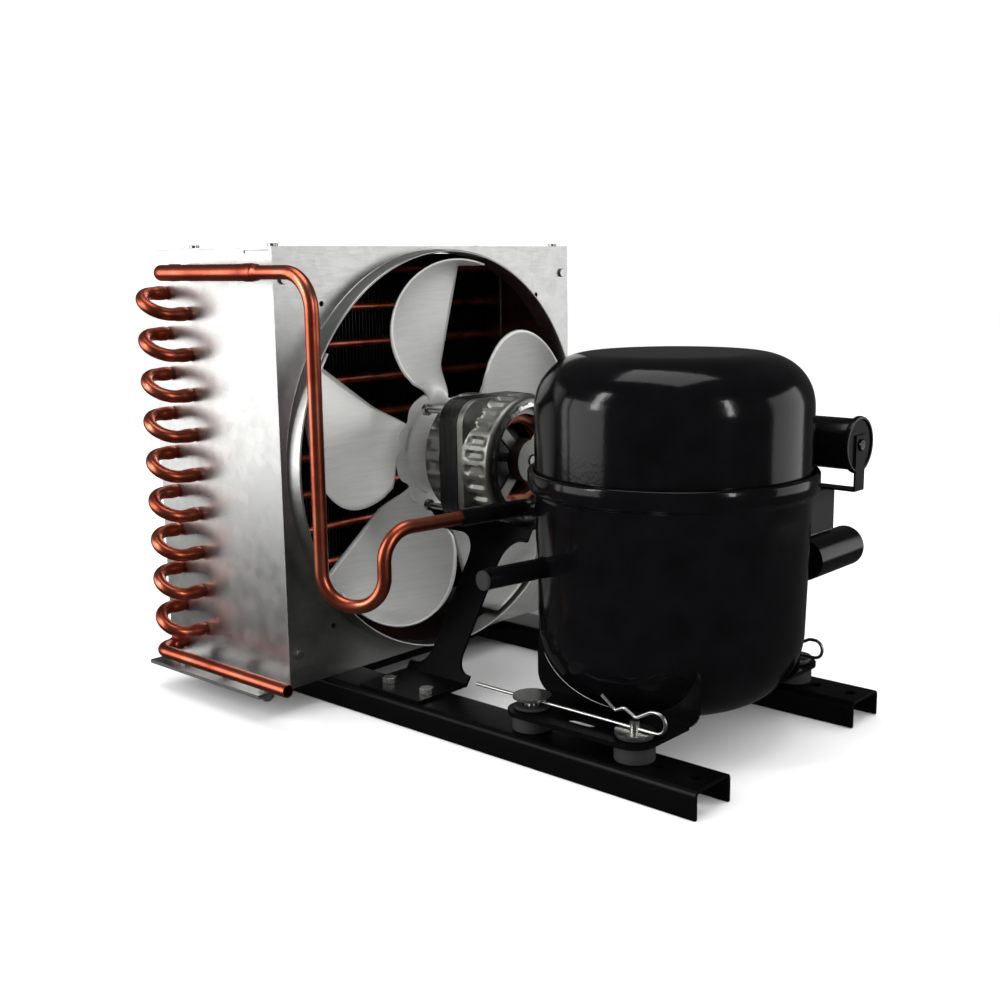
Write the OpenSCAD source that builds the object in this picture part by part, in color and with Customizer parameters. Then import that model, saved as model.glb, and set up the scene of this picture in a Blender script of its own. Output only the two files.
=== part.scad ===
// Air-cooled condensing unit: a hermetic compressor, a finned condenser in a sheet-metal casing
// and a fan, all on two channel rails. X runs along the rails from the condenser to the
// compressor, Y across them and Z up. The origin is under the middle of the unit, at the floor.

/* [Base rails] */
// Length of each rail
rail_l = 424; // [400:1:480]
// Width of the rail across its top
rail_w = 32.5; // [28:0.5:40]
// Height of the rail
rail_h = 15.5; // [12:0.5:24]
// Sheet thickness of the rails
rail_t = 2; // [1.5:0.1:3]
// Distance of the near rail from the middle of the casing
near_rail_y = 91.5; // [84:0.5:100]
// Distance of the far rail from the middle of the casing
far_rail_y = 75; // [70:0.5:100]
// Diameter of the fixing holes at the rail ends
fix_hole_d = 7; // [5:0.1:9]
// Distance of the fixing holes from the rail ends
fix_hole_in = 10; // [8:0.5:14]

/* [Casing] */
// Distance from the rails' front end back to the casing's face
face_back = 274; // [262:1:300]
// Width of the casing across the rails
casing_w = 272; // [268:1:300]
// Height of the casing above the rails
casing_h = 266.5; // [265:0.5:300]
// Depth of the casing along the rails
casing_d = 114; // [110:1:135]
// Thickness of the casing sheet
sheet_t = 1; // [0.8:0.1:1.5]
// Width of the flange along the foot of each side panel
flange_w = 24; // [20:0.5:30]
// Diameter of the fan opening
opening_d = 260; // [256:0.5:262]
// How far the ring round the fan opening stands out
ring_h = 13; // [10:0.5:16]
// Height of the fan's axis above the rails
fan_axis_h = 132.5; // [131:0.5:136]
// Distance between the guard holes at the corners of the opening
guard_pitch = 200; // [192:1:210]
// Diameter of the guard holes
guard_hole_d = 3.4; // [2.5:0.1:4.5]

/* [Condenser coil] */
// Outer diameter of the coil tubes
tube_d = 7.94; // [7:0.02:8.4]
// Wall of the copper tubes
tube_t = 0.6; // [0.4:0.05:1]
// Distance between neighbouring tubes of one row
tube_pitch = 25.4; // [24.8:0.1:25.6]
// Distance between the two rows
row_pitch = 22; // [20:0.1:24]
// Tubes in each row
tubes = 10; // [6:1:10]
// Number of fins
fins = 36; // [12:2:60]
// Thickness of a fin
fin_t = 0.4; // [0.2:0.1:0.8]
// Depth of the fins
fin_d = 44; // [42:0.5:48]
// Height of the lowest tube above the rails
low_tube_h = 10.5; // [8:0.1:14]
// Length of tube that stands out of the side panels
tube_out = 10; // [8:0.5:14]

/* [Pipes] */
// Outer diameter of the wide inlet pipe
inlet_d = 9.7; // [9.5:0.1:11]
// Outer diameter of the black compressor stubs
stub_d = 10.4; // [10:0.1:12]
// Outer diameter of the suction stub
suction_d = 11.6; // [11:0.1:13]
// Radius of the hot gas line's upper bend
gas_bend_r = 21; // [16:1:30]
// Length of outlet pipe beyond the casing's face
outlet_past = 26; // [10:1:34]

/* [Fan] */
// Diameter of the fan
fan_d = 254; // [220:1:254]
// Number of blades
blades = 5; // [3:1:5]
// Thickness of the blade sheet
blade_t = 1.2; // [0.8:0.1:2]
// Depth of the fan from the back edge of a blade to its front edge
fan_pitch_d = 25; // [14:1:26]

/* [Fan motor] */
// Width of the motor's steel core
core_w = 79; // [72:1:84]
// Length of the steel core
core_l = 20; // [14:1:24]
// Length of the rear housing
rear_l = 23; // [18:1:26]
// Length of the front housing
front_l = 16; // [12:1:18]
// Radius of the rear housing
rear_r = 41; // [38:0.5:43]
// Diameter of the motor shaft
shaft_d = 6; // [5:0.5:8]
// Distance of the core from the casing's face
core_front = 37; // [34:1:42]

/* [Compressor] */
// Distance of the compressor's axis from the casing's face
comp_x = 191; // [186:1:200]
// Outer radius of the shell
shell_r = 78.3; // [76:0.1:80]
// Thickness of the shell
shell_t = 3; // [2.5:0.1:4]
// Height of the shell's bottom above the rails
shell_low = 6.5; // [5:0.5:10]
// Height of the shell's top above its weld seam
dome_h = 65; // [58:0.5:72]
// Height of the weld seam above the rails
seam_h = 140.5; // [136:0.5:146]
// Height of the flared rim at the seam
rim_h = 11.5; // [9:0.5:14]
// Distance between the mounting pins along the rails
pin_pitch = 70; // [66:1:76]
// Outer radius of the rubber grommets
grommet_r = 11; // [10:0.5:13]

/* [Compressor mechanism] */
// Diameter of the piston
piston_d = 28; // [27:0.1:30]
// Throw of the crank
crank_throw = 4.5; // [3:0.5:4.5]
// Diameter of the crankshaft
crank_d = 16; // [14:0.5:18]
// Outer radius of the stator
stator_r = 58; // [54:0.5:60]
// Outer radius of the rotor
rotor_r = 31; // [28:0.5:33]

/* [Hidden] */

// Overrun of every cut past the faces that it opens
cut = 1;
// Gap between a round piece and its hole
fit = 0.15;
// Gap of a shaft that turns in its bearing
running = 0.05;
// Gap between pieces that stand beside each other
gap = 0.3;
// Facets that stand for a true round
round_fn = 48;
// Sides of a swept pipe and of a swept wire, and steps of each of their bends
pipe_sides = 20;
wire_sides = 8;
bend_steps = 6;
$fn = round_fn;

// Places that the pieces share
face_x = rail_l / 2 - face_back;
floor_t = 1.2;
floor_z = rail_h + floor_t;
casing_z = rail_h + casing_h;
half_w = casing_w / 2;
axis_z = rail_h + fan_axis_h;
back_x = face_x - casing_d;
rail_mid_y = (far_rail_y - near_rail_y) / 2;
rail_span = far_rail_y + near_rail_y;

// Rails
rail_bend_r = 3.5;
second_hole_gap = 23;
brace_w = 25;
brace_h = 6;
brace_in = 2;

// Casing
screw_edge = 7.5;
seam_flange_w = 14;
ring_wall = 1.6;
slot_l = 23;
slot_h = 2;
slot_back = 3;
slot_drop = 1;
front_screw_up = 19;
top_screw_gap = 77;
top_screw_back = 8;
screw_hole_d = 3.4;
screw_d = 3.2;
screw_head_d = 6;
screw_head_h = 1.8;
screw_l = 8;
flange_screw_d = 5;
flange_screw_y = 12;
flange_screw_gap = 41;
flange_screw_back = 8;
flange_head_d = 9;
flange_head_h = 3.5;
nut_h = 4;
nut_past = 1.5;

// Coil
sheet_back = 12;
sheet_front = 5;
sheet_down = 1;
fin_clear = 1;
fin_foot = 3;
fin_head = 2;
row_mid_back = 97;
row_rear_x = face_x - row_mid_back - row_pitch / 2;
row_front_x = row_rear_x + row_pitch;
tube_z = rail_h + low_tube_h;
tube_r = tube_d / 2;
bore_r = tube_r - tube_t;
bend_r = norm([row_pitch, tube_pitch / 2]) / 2;
tube_end_y = half_w + tube_out;

// Inlet pipe, hot gas line and outlet pipe
inlet_r = inlet_d / 2;
inlet_y = -(tube_end_y + bend_r + tube_r - inlet_r);
inlet_z = tube_z + tube_pitch * (tubes - 0.5);
inlet_bend_r = -inlet_y - tube_end_y - running;
inlet_start_x = row_front_x + inlet_bend_r + running;
inlet_reach = 12.5;
inlet_end_x = face_x + inlet_reach;
socket_l = 9;
gas_reach = 60;
gas_x = face_x + gas_reach;
gas_low_h = 68.5;
gas_low_z = rail_h + gas_low_h;
gas_low_r = 18.5;
gas_turn_reach = 95;
gas_turn_x = face_x + gas_turn_reach;
gas_turn_in = 15;
gas_turn_y = inlet_y + gas_turn_in;
gas_up_r = 18;
outlet_y = -(tube_end_y + bend_r);
outlet_start_x = row_rear_x + bend_r + running;

// Fan and its motor
axis_y = 0;
blade_set_back = 14;
blade_back_x = face_x - blade_set_back;
blade_mid_x = blade_back_x + fan_pitch_d / 2;
spider_r = 40;
neck_r = 33;
blade_lead_angle = -16;
blade_sweep = 54;
blade_full_share = 0.30;
blade_power = 2.3;
blade_steps = 12;
blade_cols = 8;
hub_r = 11;
hub_l = 14;
hub_flange_r = 18;
hub_flange_t = 2;
nut_d = 11;
fan_nut_h = 5;
core_x = face_x + core_front;
core_back_x = core_x + core_l;
core_round_r = 16;
rotor_d = 38;
rotor_gap = 0.4;
motor_wall = 2.2;
front_r = 40;
end_cap_t = 2;
end_ring_r = 36;
bearing_r = 11;
bearing_w = 7;
boss_wall = 2.5;
spokes = 4;
spoke_w = 7;
winding_w = 7;
bolt_offset = 31;
bolt_d = 4;
bolt_head_d = 7.5;
bolt_head_h = 3;

// Motor bracket
bracket_t = 2;
foot_reach = 28;
foot_back_x = face_x + foot_reach;
foot_l = 52;
foot_in = 12;
foot_lip_h = 6;
foot_lip_back = 3;
neck_w = 25;
neck_reach = 43;
neck_back_x = face_x + neck_reach;
arm_l = 72;
arm_reach = 13;
arm_back_x = face_x + arm_reach;
arm_h = 9;
fillet_r = 14;
foot_fillet_r = 10;
bracket_screw_gap = 32;
bracket_screw_back = 13;
top_flange_w = 16;
bracket_foot_y = -near_rail_y + rail_w / 2 + foot_in;
bracket_top_z = axis_z - rear_r - bracket_t - gap;
bracket_base_z = rail_h + bracket_t;
// The leaning web's thickness, measured along Y
bracket_web = 2.3;

// Compressor
cx = face_x + comp_x;
cy = rail_mid_y;
low_z = rail_h + shell_low;
seam_z = rail_h + seam_h;
top_z = seam_z + dome_h;
rim_low_z = seam_z - rim_h;
rim_step = 4;
low_knuckle_r = 42;
top_knuckle_r = 30;
low_taper = 2;
socket_gap = 0.1;
lap_h = 8;
foot_plate_t = 2.5;
foot_plate_h = 9.5;
foot_plate_z = rail_h + foot_plate_h;
foot_wall_h = 42;
foot_wall_l = 110;
foot_wall_in = 31.5;
foot_wall_y = rail_span / 2 - foot_wall_in;
foot_len = 96;
foot_end_r = 13;
foot_out = 14;
foot_slot_l = 20;
foot_slot_w = 8;
grommet_neck_r = 7.5;
grommet_top_h = 2;
grommet_top_r = 10;
pin_r = 2.7;
pin_collar_r = 4.4;
pin_head_r = 10.8;
pin_head_t = 1.4;
wire_d = 2;
disc_z = foot_plate_z + foot_plate_t + grommet_top_h + gap / 2;
wire_z = disc_z + pin_head_t + gap + wire_d / 2;
head_z = wire_z + wire_d / 2 + gap;
clip_tail = 42;
clip_reach = 19;
clip_h = 11;
pin_top_z = wire_z + clip_h / 2 - wire_d / 2 - gap;

// Stubs on the shell
discharge_drop = 28;
discharge_z = seam_z - discharge_drop;
discharge_bend_r = 9;
discharge_angle = 203;
discharge_out = 1.7;
discharge_across = 33.75;
discharge_lead = [-7.6, -48, 0];
discharge_knee = [cx - shell_r - discharge_out, cy - discharge_across, discharge_z];
discharge_end = discharge_knee + discharge_lead;
suction_drop = 52.5;
suction_z = seam_z - suction_drop;
suction_back = 37.5;
suction_in = 19.55;
suction_lead = [-8.5, -50, 0];
suction_root = [cx - suction_back, cy - shell_r + suction_in, suction_z];
suction_end = suction_root + suction_lead;
suction_wall = 1.2;
suction_run = 36;
neck_step = 0.4;
plug_lip = 2;
plug_in = 8;
plug_clear = 0.1;

// Electrical parts
cover_w = 39;
cover_d = 44;
cover_h = 25.5;
cover_drop = 46;
cover_z = seam_z - cover_drop;
cover_t = 1.6;
cover_side = 10;
cover_back_x = cx + cover_side;
cover_y = cy + shell_r + cover_t;
cover_x = cover_back_x + cover_w / 2;
cap_r = 15.3;
cap_l = 50;
cap_side = 14;
cap_x = cx + cap_side;
cap_gap = 3;
cap_y = cy + shell_r + cap_r + cap_gap;
cap_rise = 7;
cap_z = seam_z + cap_rise;
cap_disc_r = 17;
cap_disc_t = 2;
strap_w = 12;
strap_t = 1.2;
run_r = 12.3;
run_side = 49;
run_x = cx + run_side;
run_drop = 59.5;
run_z = seam_z - run_drop;
run_out = 66;
run_y = cy + run_out;
run_l = 54;
run_round_r = 2;

// Mechanism inside the shell
block_drop = 2;
block_z = seam_z - block_drop;
block_t = 14;
block_r = 50;
stator_h = 42;
stator_low_h = 44;
stator_z = rail_h + stator_low_h;
air_gap = 0.6;
stator_bore_r = rotor_r + air_gap;
winding_h = 14;
winding_in = 5;
spring_r = 7;
spring_wire_d = 2;
spring_offset = 27;
crank_web_r = 14;
crank_web_t = 6;
crank_pin_r = 6;
crank_pin_h = 14;
rod_z = block_z + block_t + crank_web_t + crank_pin_h / 2 + gap;
rod_l = 28;
rod_eye_r = 9.5;
rod_small_r = 5.5;
rod_t = 7;
wrist_r = 3;
wrist_l = 12;
piston_l = 24;
piston_wall = 2.6;
cylinder_wall = 6;
cylinder_l = 28;
head_t = 10;
// The small eye stays clear of the crown over the whole stroke
eye_room = rod_small_r + 2 * crank_throw + 2 * gap;
crown_x = cx + crank_throw + rod_l + eye_room + piston_wall;
cylinder_end_x = crown_x + gap;

// A channel section with rounded corners, open at the bottom, that rests on the x axis
module channel_section(w, h, t, r) {
    difference() {
        rounded_top(w, h, r);
        translate([0, -cut]) rounded_top(w - 2 * t, h - t + cut, r - t);
    }
}

// A rectangle whose two upper corners are round
module rounded_top(w, h, r) {
    translate([-w / 2, 0]) square([w, h - r]);
    translate([r - w / 2, 0]) square([w - 2 * r, h]);
    for (side = [-1, 1]) translate([side * (w / 2 - r), h - r]) circle(r);
}

// A flat plate in the plane of the rails, with rounded corners
module rounded_rect(l, w, r) {
    translate([r, 0]) square([l - 2 * r, w]);
    translate([0, r]) square([l, w - 2 * r]);
    for (x = [r, l - r], y = [r, w - r]) translate([x, y]) circle(r);
}

// A plate that stands across the rails, drawn by its width and height
module upright(t) {
    rotate([90, 0, 90]) linear_extrude(t) children();
}

// A plate that stands along the rails, drawn by its length and height
module side_upright(t) {
    translate([0, t, 0]) rotate([90, 0, 0]) linear_extrude(t) children();
}

// A cylinder along X
module rod_x(r, l) {
    rotate([0, 90, 0]) cylinder(r = r, h = l);
}

// A cylinder along Y
module rod_y(r, l) {
    rotate([-90, 0, 0]) cylinder(r = r, h = l);
}

// Turns the Z axis of its children to a direction
module aim(v) {
    flat = norm([v[0], v[1]]);
    rotate([0, atan2(flat, v[2]), atan2(v[1], v[0])]) children();
}

function unit(v) = v / norm(v);

// The angle by which a route turns at point i
function turn(route, i) =
    acos(unit(route[i] - route[i - 1]) * unit(route[i + 1] - route[i]));

// Places along the bend at point i of a route, each as a point and the way that the route runs
function bend_places(route, i, bend) =
    let (way = unit(route[i] - route[i - 1]), next = unit(route[i + 1] - route[i]),
         out = cross(way, unit(cross(way, next))), angle = turn(route, i),
         centre = route[i] - way * bend * tan(angle / 2) - out * bend)
    [for (k = [0 : bend_steps]) let (a = angle * k / bend_steps)
        [centre + bend * (out * cos(a) + way * sin(a)), way * cos(a) - out * sin(a)]];

// Places along a whole route whose inner points have bends of the given radii
function route_places(route, bends) =
    let (last = len(route) - 1)
    concat([[route[0], unit(route[1] - route[0])]],
        [for (i = [1 : last - 1]) each bend_places(route, i, bends[i])],
        [[route[last], unit(route[last] - route[last - 1])]]);

// A direction square to the route at each place, carried along so that it doesn't spin
function carried(places, side, i = 0) =
    i == len(places) ? [] :
    let (way = places[i][1], next = unit(side - (side * way) * way))
    concat([next], carried(places, next, i + 1));

// The corners of one skin of a swept bar, ring after ring
function skin(places, sides_at, r, sides) =
    [for (i = [0 : len(places) - 1], k = [0 : sides - 1])
        let (a = 360 * k / sides, u = sides_at[i], v = cross(places[i][1], u))
        places[i][0] + r * (cos(a) * u + sin(a) * v)];

// Triangles between the rings of a skin whose first corner has the given index
function skin_faces(rings, sides, first, outside) =
    [for (i = [0 : rings - 2], k = [0 : sides - 1], half = [0, 1])
        let (a = first + i * sides + k, b = first + i * sides + (k + 1) % sides,
             face = half == 0 ? [a, a + sides, b + sides] : [a, b + sides, b])
        outside ? face : [face[2], face[1], face[0]]];

// A round bar along a route, as one closed skin
module swept_bar(route, bends, r, sides) {
    places = route_places(route, bends);
    rings = len(places);
    start = unit(cross(places[0][1], [0.31, 0.17, 0.93]));
    last = (rings - 1) * sides;
    polyhedron(skin(places, carried(places, start), r, sides),
        concat(skin_faces(rings, sides, 0, true), [[for (k = [0 : sides - 1]) k]],
            [[for (k = [sides - 1 : -1 : 0]) last + k]]));
}

// A tube along a route, as an outer and an inner skin joined at both ends
module swept_tube(route, bends, r, inner, sides) {
    places = route_places(route, bends);
    rings = len(places);
    start = unit(cross(places[0][1], [0.31, 0.17, 0.93]));
    sides_at = carried(places, start);
    count = rings * sides;
    ends = [for (end = [0, (rings - 1) * sides], k = [0 : sides - 1], half = [0, 1])
        let (a = end + k, b = end + (k + 1) % sides,
             face = half == 0 ? [a, b, b + count] : [a, b + count, a + count])
        end == 0 ? face : [face[2], face[1], face[0]]];
    polyhedron(concat(skin(places, sides_at, r, sides), skin(places, sides_at, inner, sides)),
        concat(skin_faces(rings, sides, 0, true), skin_faces(rings, sides, count, false), ends));
}

// A flat ring
module ring(r, inner) {
    difference() {
        circle(r);
        circle(inner);
    }
}

// A pressed screw with a round head whose underside is at the origin, pointing down
module screw(d, l, head_d, head_h) {
    cylinder(d = head_d, h = head_h);
    translate([0, 0, -l]) cylinder(d = d, h = l);
}

// A screw with a hexagon head
module hex_screw(d, l, head_d, head_h) {
    cylinder(d = head_d, h = head_h, $fn = 6);
    translate([0, 0, -l]) cylinder(d = d, h = l);
}

// Height of tube i of the rear row and of the front row
function rear_z(i) = tube_z + tube_pitch * i;
function front_z(i) = rear_z(i) + tube_pitch / 2;

// The centres of all tubes, as distance along X and height
tube_places = [for (i = [0 : tubes - 1], row = [0, 1])
    [row == 0 ? row_rear_x : row_front_x, row == 0 ? rear_z(i) : front_z(i)]];

// Rails

fix_x = rail_l / 2 - fix_hole_in;
pin_places = [for (x = [-1, 1], y = [-1, 1]) [cx + x * pin_pitch / 2, cy + y * rail_span / 2]];

module rail(y) {
    difference() {
        translate([-rail_l / 2, y, 0]) upright(rail_l) channel_section(rail_w, rail_h, rail_t, rail_bend_r);
        for (x = [-fix_x, fix_x - second_hole_gap, fix_x])
            translate([x, y, rail_h - rail_t - cut]) cylinder(d = fix_hole_d, h = rail_t + 2 * cut);
        for (place = pin_places)
            translate([place[0], y, rail_h - rail_t - cut]) cylinder(r = pin_r + fit, h = rail_t + 2 * cut);
    }
}

module rail_near() {
    color("#111112") difference() {
        rail(-near_rail_y);
        for (x = bracket_screw_x)
            translate([x, -near_rail_y, rail_h - rail_t - cut])
                cylinder(d = screw_hole_d, h = rail_t + 2 * cut);
    }
}

module rail_far() {
    color("#111112") rail(far_rail_y);
}

// Two folded strips between the rails, under the front and the back of the casing
module cross_braces() {
    inner = rail_span - rail_w - 2 * gap;
    y = rail_mid_y - inner / 2;
    color("#111112") for (x = [face_x - brace_in, back_x + brace_w + brace_in]) {
        translate([x - brace_w, y, rail_h - rail_t]) cube([brace_w, inner, rail_t]);
        translate([x - rail_t, y, rail_h - brace_h]) cube([rail_t, inner, brace_h]);
    }
}

// Casing

flange_screw_x = [for (i = [0 : 2]) face_x - flange_screw_back - flange_screw_gap * i];
flange_screw_places = [for (x = flange_screw_x, side = [-1, 1]) [x, side * (half_w + flange_screw_y)]];

module casing_floor() {
    w = casing_w + 2 * flange_w;
    color("#C9C9C6") difference() {
        translate([back_x, -w / 2, rail_h]) cube([casing_d, w, floor_t]);
        for (place = flange_screw_places)
            translate([place[0], place[1], rail_h - cut])
                cylinder(d = flange_screw_d + 2 * fit, h = floor_t + 2 * cut);
    }
}

// A side panel with its outward foot flange and its inward seams, seen from the middle of the
// casing. side is -1 for the near panel and 1 for the far one.
module side_panel(side) {
    top = casing_z - sheet_t;
    color("#D2D2CF") difference() {
        union() {
            translate([back_x, side > 0 ? half_w - sheet_t : -half_w, floor_z])
                cube([casing_d - sheet_t, sheet_t, top - floor_z]);
            translate([back_x, side > 0 ? half_w - sheet_t : -half_w - flange_w, floor_z])
                cube([casing_d - sheet_t, flange_w + sheet_t, sheet_t]);
            translate([face_x - 2 * sheet_t, side > 0 ? half_w - seam_flange_w : -half_w, floor_z])
                cube([sheet_t, seam_flange_w, top - floor_z]);
            translate([back_x, side > 0 ? half_w - seam_flange_w : -half_w, top - sheet_t])
                cube([casing_d - sheet_t, seam_flange_w, sheet_t]);
        }
        translate([back_x, 0, axis_z]) rod_x(opening_d / 2 + ring_wall, casing_d);
        translate([face_x - slot_back - slot_l, side > 0 ? half_w - sheet_t - cut : -half_w - cut,
            top - slot_drop - slot_h])
            cube([slot_l, sheet_t + 2 * cut, slot_h]);
        for (place = tube_places)
            translate([place[0], side * (half_w - sheet_t) - (sheet_t + 2 * cut) / 2, place[1]])
                rod_y(tube_r + fit, 2 * sheet_t + 2 * cut);
        for (x = flange_screw_x)
            translate([x, side * (half_w + flange_screw_y), floor_z - cut])
                cylinder(d = flange_screw_d + 2 * fit, h = sheet_t + 2 * cut);
        for (x = top_screw_x)
            translate([x, side * (half_w - screw_edge), top - sheet_t - cut])
                cylinder(d = screw_hole_d, h = sheet_t + 2 * cut);
        for (z = front_screw_z)
            translate([face_x - 2 * sheet_t - cut, side * (half_w - screw_edge), z])
                rod_x(screw_hole_d / 2, sheet_t + 2 * cut);
    }
}

top_screw_x = [face_x - top_screw_back, face_x - top_screw_back - top_screw_gap];
front_screw_z = [floor_z + front_screw_up, casing_z - front_screw_up];

module side_panel_near() {
    side_panel(-1);
}

module side_panel_far() {
    side_panel(1);
}

// The face of the casing, drawn with the rolled ring round its opening
module front_panel() {
    color("#C6C6C3") translate([face_x - sheet_t, axis_y, axis_z]) rotate([0, 90, 0]) opening_ring();
    color("#C6C6C3") difference() {
        translate([face_x - sheet_t, -half_w, floor_z]) cube([sheet_t, casing_w, casing_z - floor_z]);
        translate([face_x - sheet_t - cut, axis_y, axis_z])
            rod_x(opening_d / 2 + ring_wall / 2, sheet_t + 2 * cut);
        for (y = [-1, 1], z = [-1, 1])
            translate([face_x - sheet_t - cut, axis_y + y * guard_pitch / 2, axis_z + z * guard_pitch / 2])
                rod_x(guard_hole_d / 2, sheet_t + 2 * cut);
        for (y = [-1, 1], z = front_screw_z)
            translate([face_x - sheet_t - cut, y * (half_w - screw_edge), z])
                rod_x(screw_hole_d / 2, sheet_t + 2 * cut);
    }
}

// A short round wall with a rounded lip
module opening_ring() {
    h = ring_h + sheet_t - ring_wall / 2;
    rotate_extrude($fn = 2 * round_fn) {
        translate([opening_d / 2, 0]) square([ring_wall, h]);
        translate([opening_d / 2 + ring_wall / 2, h]) circle(ring_wall / 2);
    }
}

module top_panel() {
    color("#D2D2CF") difference() {
        translate([back_x, -half_w, casing_z - sheet_t]) cube([casing_d - sheet_t, casing_w, sheet_t]);
        for (x = top_screw_x, side = [-1, 1])
            translate([x, side * (half_w - screw_edge), casing_z - sheet_t - cut])
                cylinder(d = screw_hole_d, h = sheet_t + 2 * cut);
    }
}

// Round-headed screws of the top panel and of the face, one solid each
module casing_screws() {
    color("#BFBFBC") {
        for (x = top_screw_x, side = [-1, 1])
            translate([x, side * (half_w - screw_edge), casing_z])
                screw(screw_d, screw_l, screw_head_d, screw_head_h);
        for (side = [-1, 1], z = front_screw_z)
            translate([face_x, side * (half_w - screw_edge), z]) rotate([0, 90, 0])
                screw(screw_d, screw_l, screw_head_d, screw_head_h);
    }
}

// Hexagon screws and their nuts along the feet of the side panels
module flange_screws() {
    deep = floor_t + sheet_t + nut_h + nut_past;
    color("#B9B9B6") for (place = flange_screw_places) {
        translate([place[0], place[1], floor_z + sheet_t])
            hex_screw(flange_screw_d, deep, flange_head_d, flange_head_h);
        translate([place[0], place[1], rail_h - nut_h]) difference() {
            cylinder(d = flange_head_d, h = nut_h, $fn = 6);
            translate([0, 0, -cut]) cylinder(d = flange_screw_d + 2 * running, h = nut_h + 2 * cut);
        }
    }
}

// Coil

// One end plate of the coil, just inside a side panel
module tube_sheet(side) {
    l = sheet_back + row_mid_back - casing_d + casing_d - row_mid_back + fin_d + sheet_front;
    x = back_x - sheet_back;
    color("#BDBDBA") difference() {
        translate([x, side > 0 ? half_w - 2 * sheet_t : -half_w + sheet_t, floor_z])
            cube([l, sheet_t, casing_z - 2 * sheet_t - sheet_down - floor_z]);
        for (place = tube_places)
            translate([place[0], side * (half_w - 1.5 * sheet_t) - sheet_t / 2 - cut, place[1]])
                rod_y(tube_r + fit, sheet_t + 2 * cut);
    }
}

module tube_sheet_near() {
    tube_sheet(-1);
}

module tube_sheet_far() {
    tube_sheet(1);
}

// Thin plates threaded on the tubes, one solid each
module fin_pack() {
    inner = casing_w - 4 * sheet_t - 2 * fin_clear - fin_t;
    z = floor_z + fin_foot;
    color("#26282A") for (i = [0 : fins - 1])
        translate([0, -inner / 2 + inner * i / (fins - 1) - fin_t / 2, 0]) side_upright(fin_t) difference() {
            translate([(row_rear_x + row_front_x - fin_d) / 2, z])
                square([fin_d, casing_z - fin_head - 2 * sheet_t - z]);
            for (place = tube_places) translate(place) circle(tube_r + fit);
        }
}

// A straight tube of the coil
module coil_tube(x, z, near_end, far_end) {
    translate([x, near_end, z]) difference() {
        rod_y(tube_r, far_end - near_end);
        translate([0, -cut, 0]) rod_y(bore_r, far_end - near_end + 2 * cut);
    }
}

module coil_tubes() {
    color("#B4532F") for (place = tube_places)
        coil_tube(place[0], place[1], -tube_end_y, tube_end_y);
}

// A half ring of tube that joins two tube ends. side is -1 outside the near panel.
module return_bend(from, to, side) {
    middle = (from + to) / 2;
    step = to - from;
    translate([middle[0], side * tube_end_y, middle[1]]) rotate([0, atan2(-step[1], step[0]), 0])
        rotate([side > 0 ? 0 : 180, 0, 0]) rotate_extrude(angle = 180)
            translate([norm(step) / 2, 0]) ring(tube_r, bore_r);
}

module return_bends_near() {
    color("#B4532F") for (i = [1 : tubes - 1])
        return_bend([row_rear_x, rear_z(i)], [row_front_x, front_z(i - 1)], -1);
}

module return_bends_far() {
    color("#B4532F") for (i = [0 : tubes - 1])
        return_bend([row_rear_x, rear_z(i)], [row_front_x, front_z(i)], 1);
}

// An elbow on the highest tube of the front row, and the wide pipe that it feeds from
module inlet_pipe() {
    color("#C0562F") {
        translate([row_front_x + inlet_bend_r, -tube_end_y - running, inlet_z]) rotate([0, 0, 180])
            rotate_extrude(angle = 90) translate([inlet_bend_r, 0]) ring(inlet_r, tube_r + fit);
        translate([inlet_start_x, inlet_y, inlet_z]) rotate([0, 90, 0])
            linear_extrude(inlet_end_x - inlet_start_x) ring(inlet_r, tube_r + fit);
    }
}

gas_route = [[inlet_end_x - socket_l, inlet_y, inlet_z], [gas_x, inlet_y, inlet_z],
    [gas_x, inlet_y, gas_low_z], [gas_turn_x, gas_turn_y, gas_low_z],
    [gas_turn_x, gas_turn_y, discharge_z],
    discharge_end + unit(discharge_knee - discharge_end) * socket_l];
gas_bends = [0, gas_bend_r, gas_low_r, gas_low_r, gas_up_r, 0];

module hot_gas_line() {
    color("#C0562F") swept_tube(gas_route, gas_bends, tube_r, bore_r, pipe_sides);
}

// An elbow on the lowest tube of the rear row, with a straight end past the casing
module outlet_pipe() {
    color("#C0562F") {
        translate([row_rear_x + bend_r, -tube_end_y - running, tube_z]) rotate([0, 0, 180])
            rotate_extrude(angle = 90) translate([bend_r, 0]) ring(tube_r, bore_r);
        translate([outlet_start_x, outlet_y - running, tube_z]) rotate([0, 90, 0])
            linear_extrude(face_x + outlet_past - outlet_start_x) ring(tube_r, bore_r);
    }
}

// Fan

// Angle of a blade's round edge at radius r, from the blade's straight edge
function blade_angle(r) =
    let (full = neck_r + (fan_d / 2 - neck_r) * blade_full_share)
    r > full
        ? blade_sweep * pow(max(0, 1 - pow((r - full) / (fan_d / 2 - full), blade_power)), 1 / blade_power)
        : blade_sweep * (1 - 0.45 * pow((full - r) / (full - neck_r), 2));

// How far the blade has twisted out of the spider's plane at radius r, from 0 to 1
function twist_share(r) =
    let (u = min(1, max(0, (r - neck_r) / (fan_d * 0.14))))
    u * u * (3 - 2 * u);

// A point of the blade sheet: radius r, and share v of the way from the straight edge
function blade_point(r, v, lift) =
    let (turned = blade_angle(r) * v + blade_lead_angle,
         x = twist_share(r) * fan_pitch_d * (blade_angle(r) * v / blade_sweep - 0.5))
    [x + lift, -r * sin(turned), r * cos(turned)];

blade_tip_gap = 0.3;
blade_tip_r = fan_d / 2 - blade_tip_gap;
function blade_ring(i) = neck_r + (blade_tip_r - neck_r) * (1 - pow(1 - i / blade_steps, 1.6));

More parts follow.
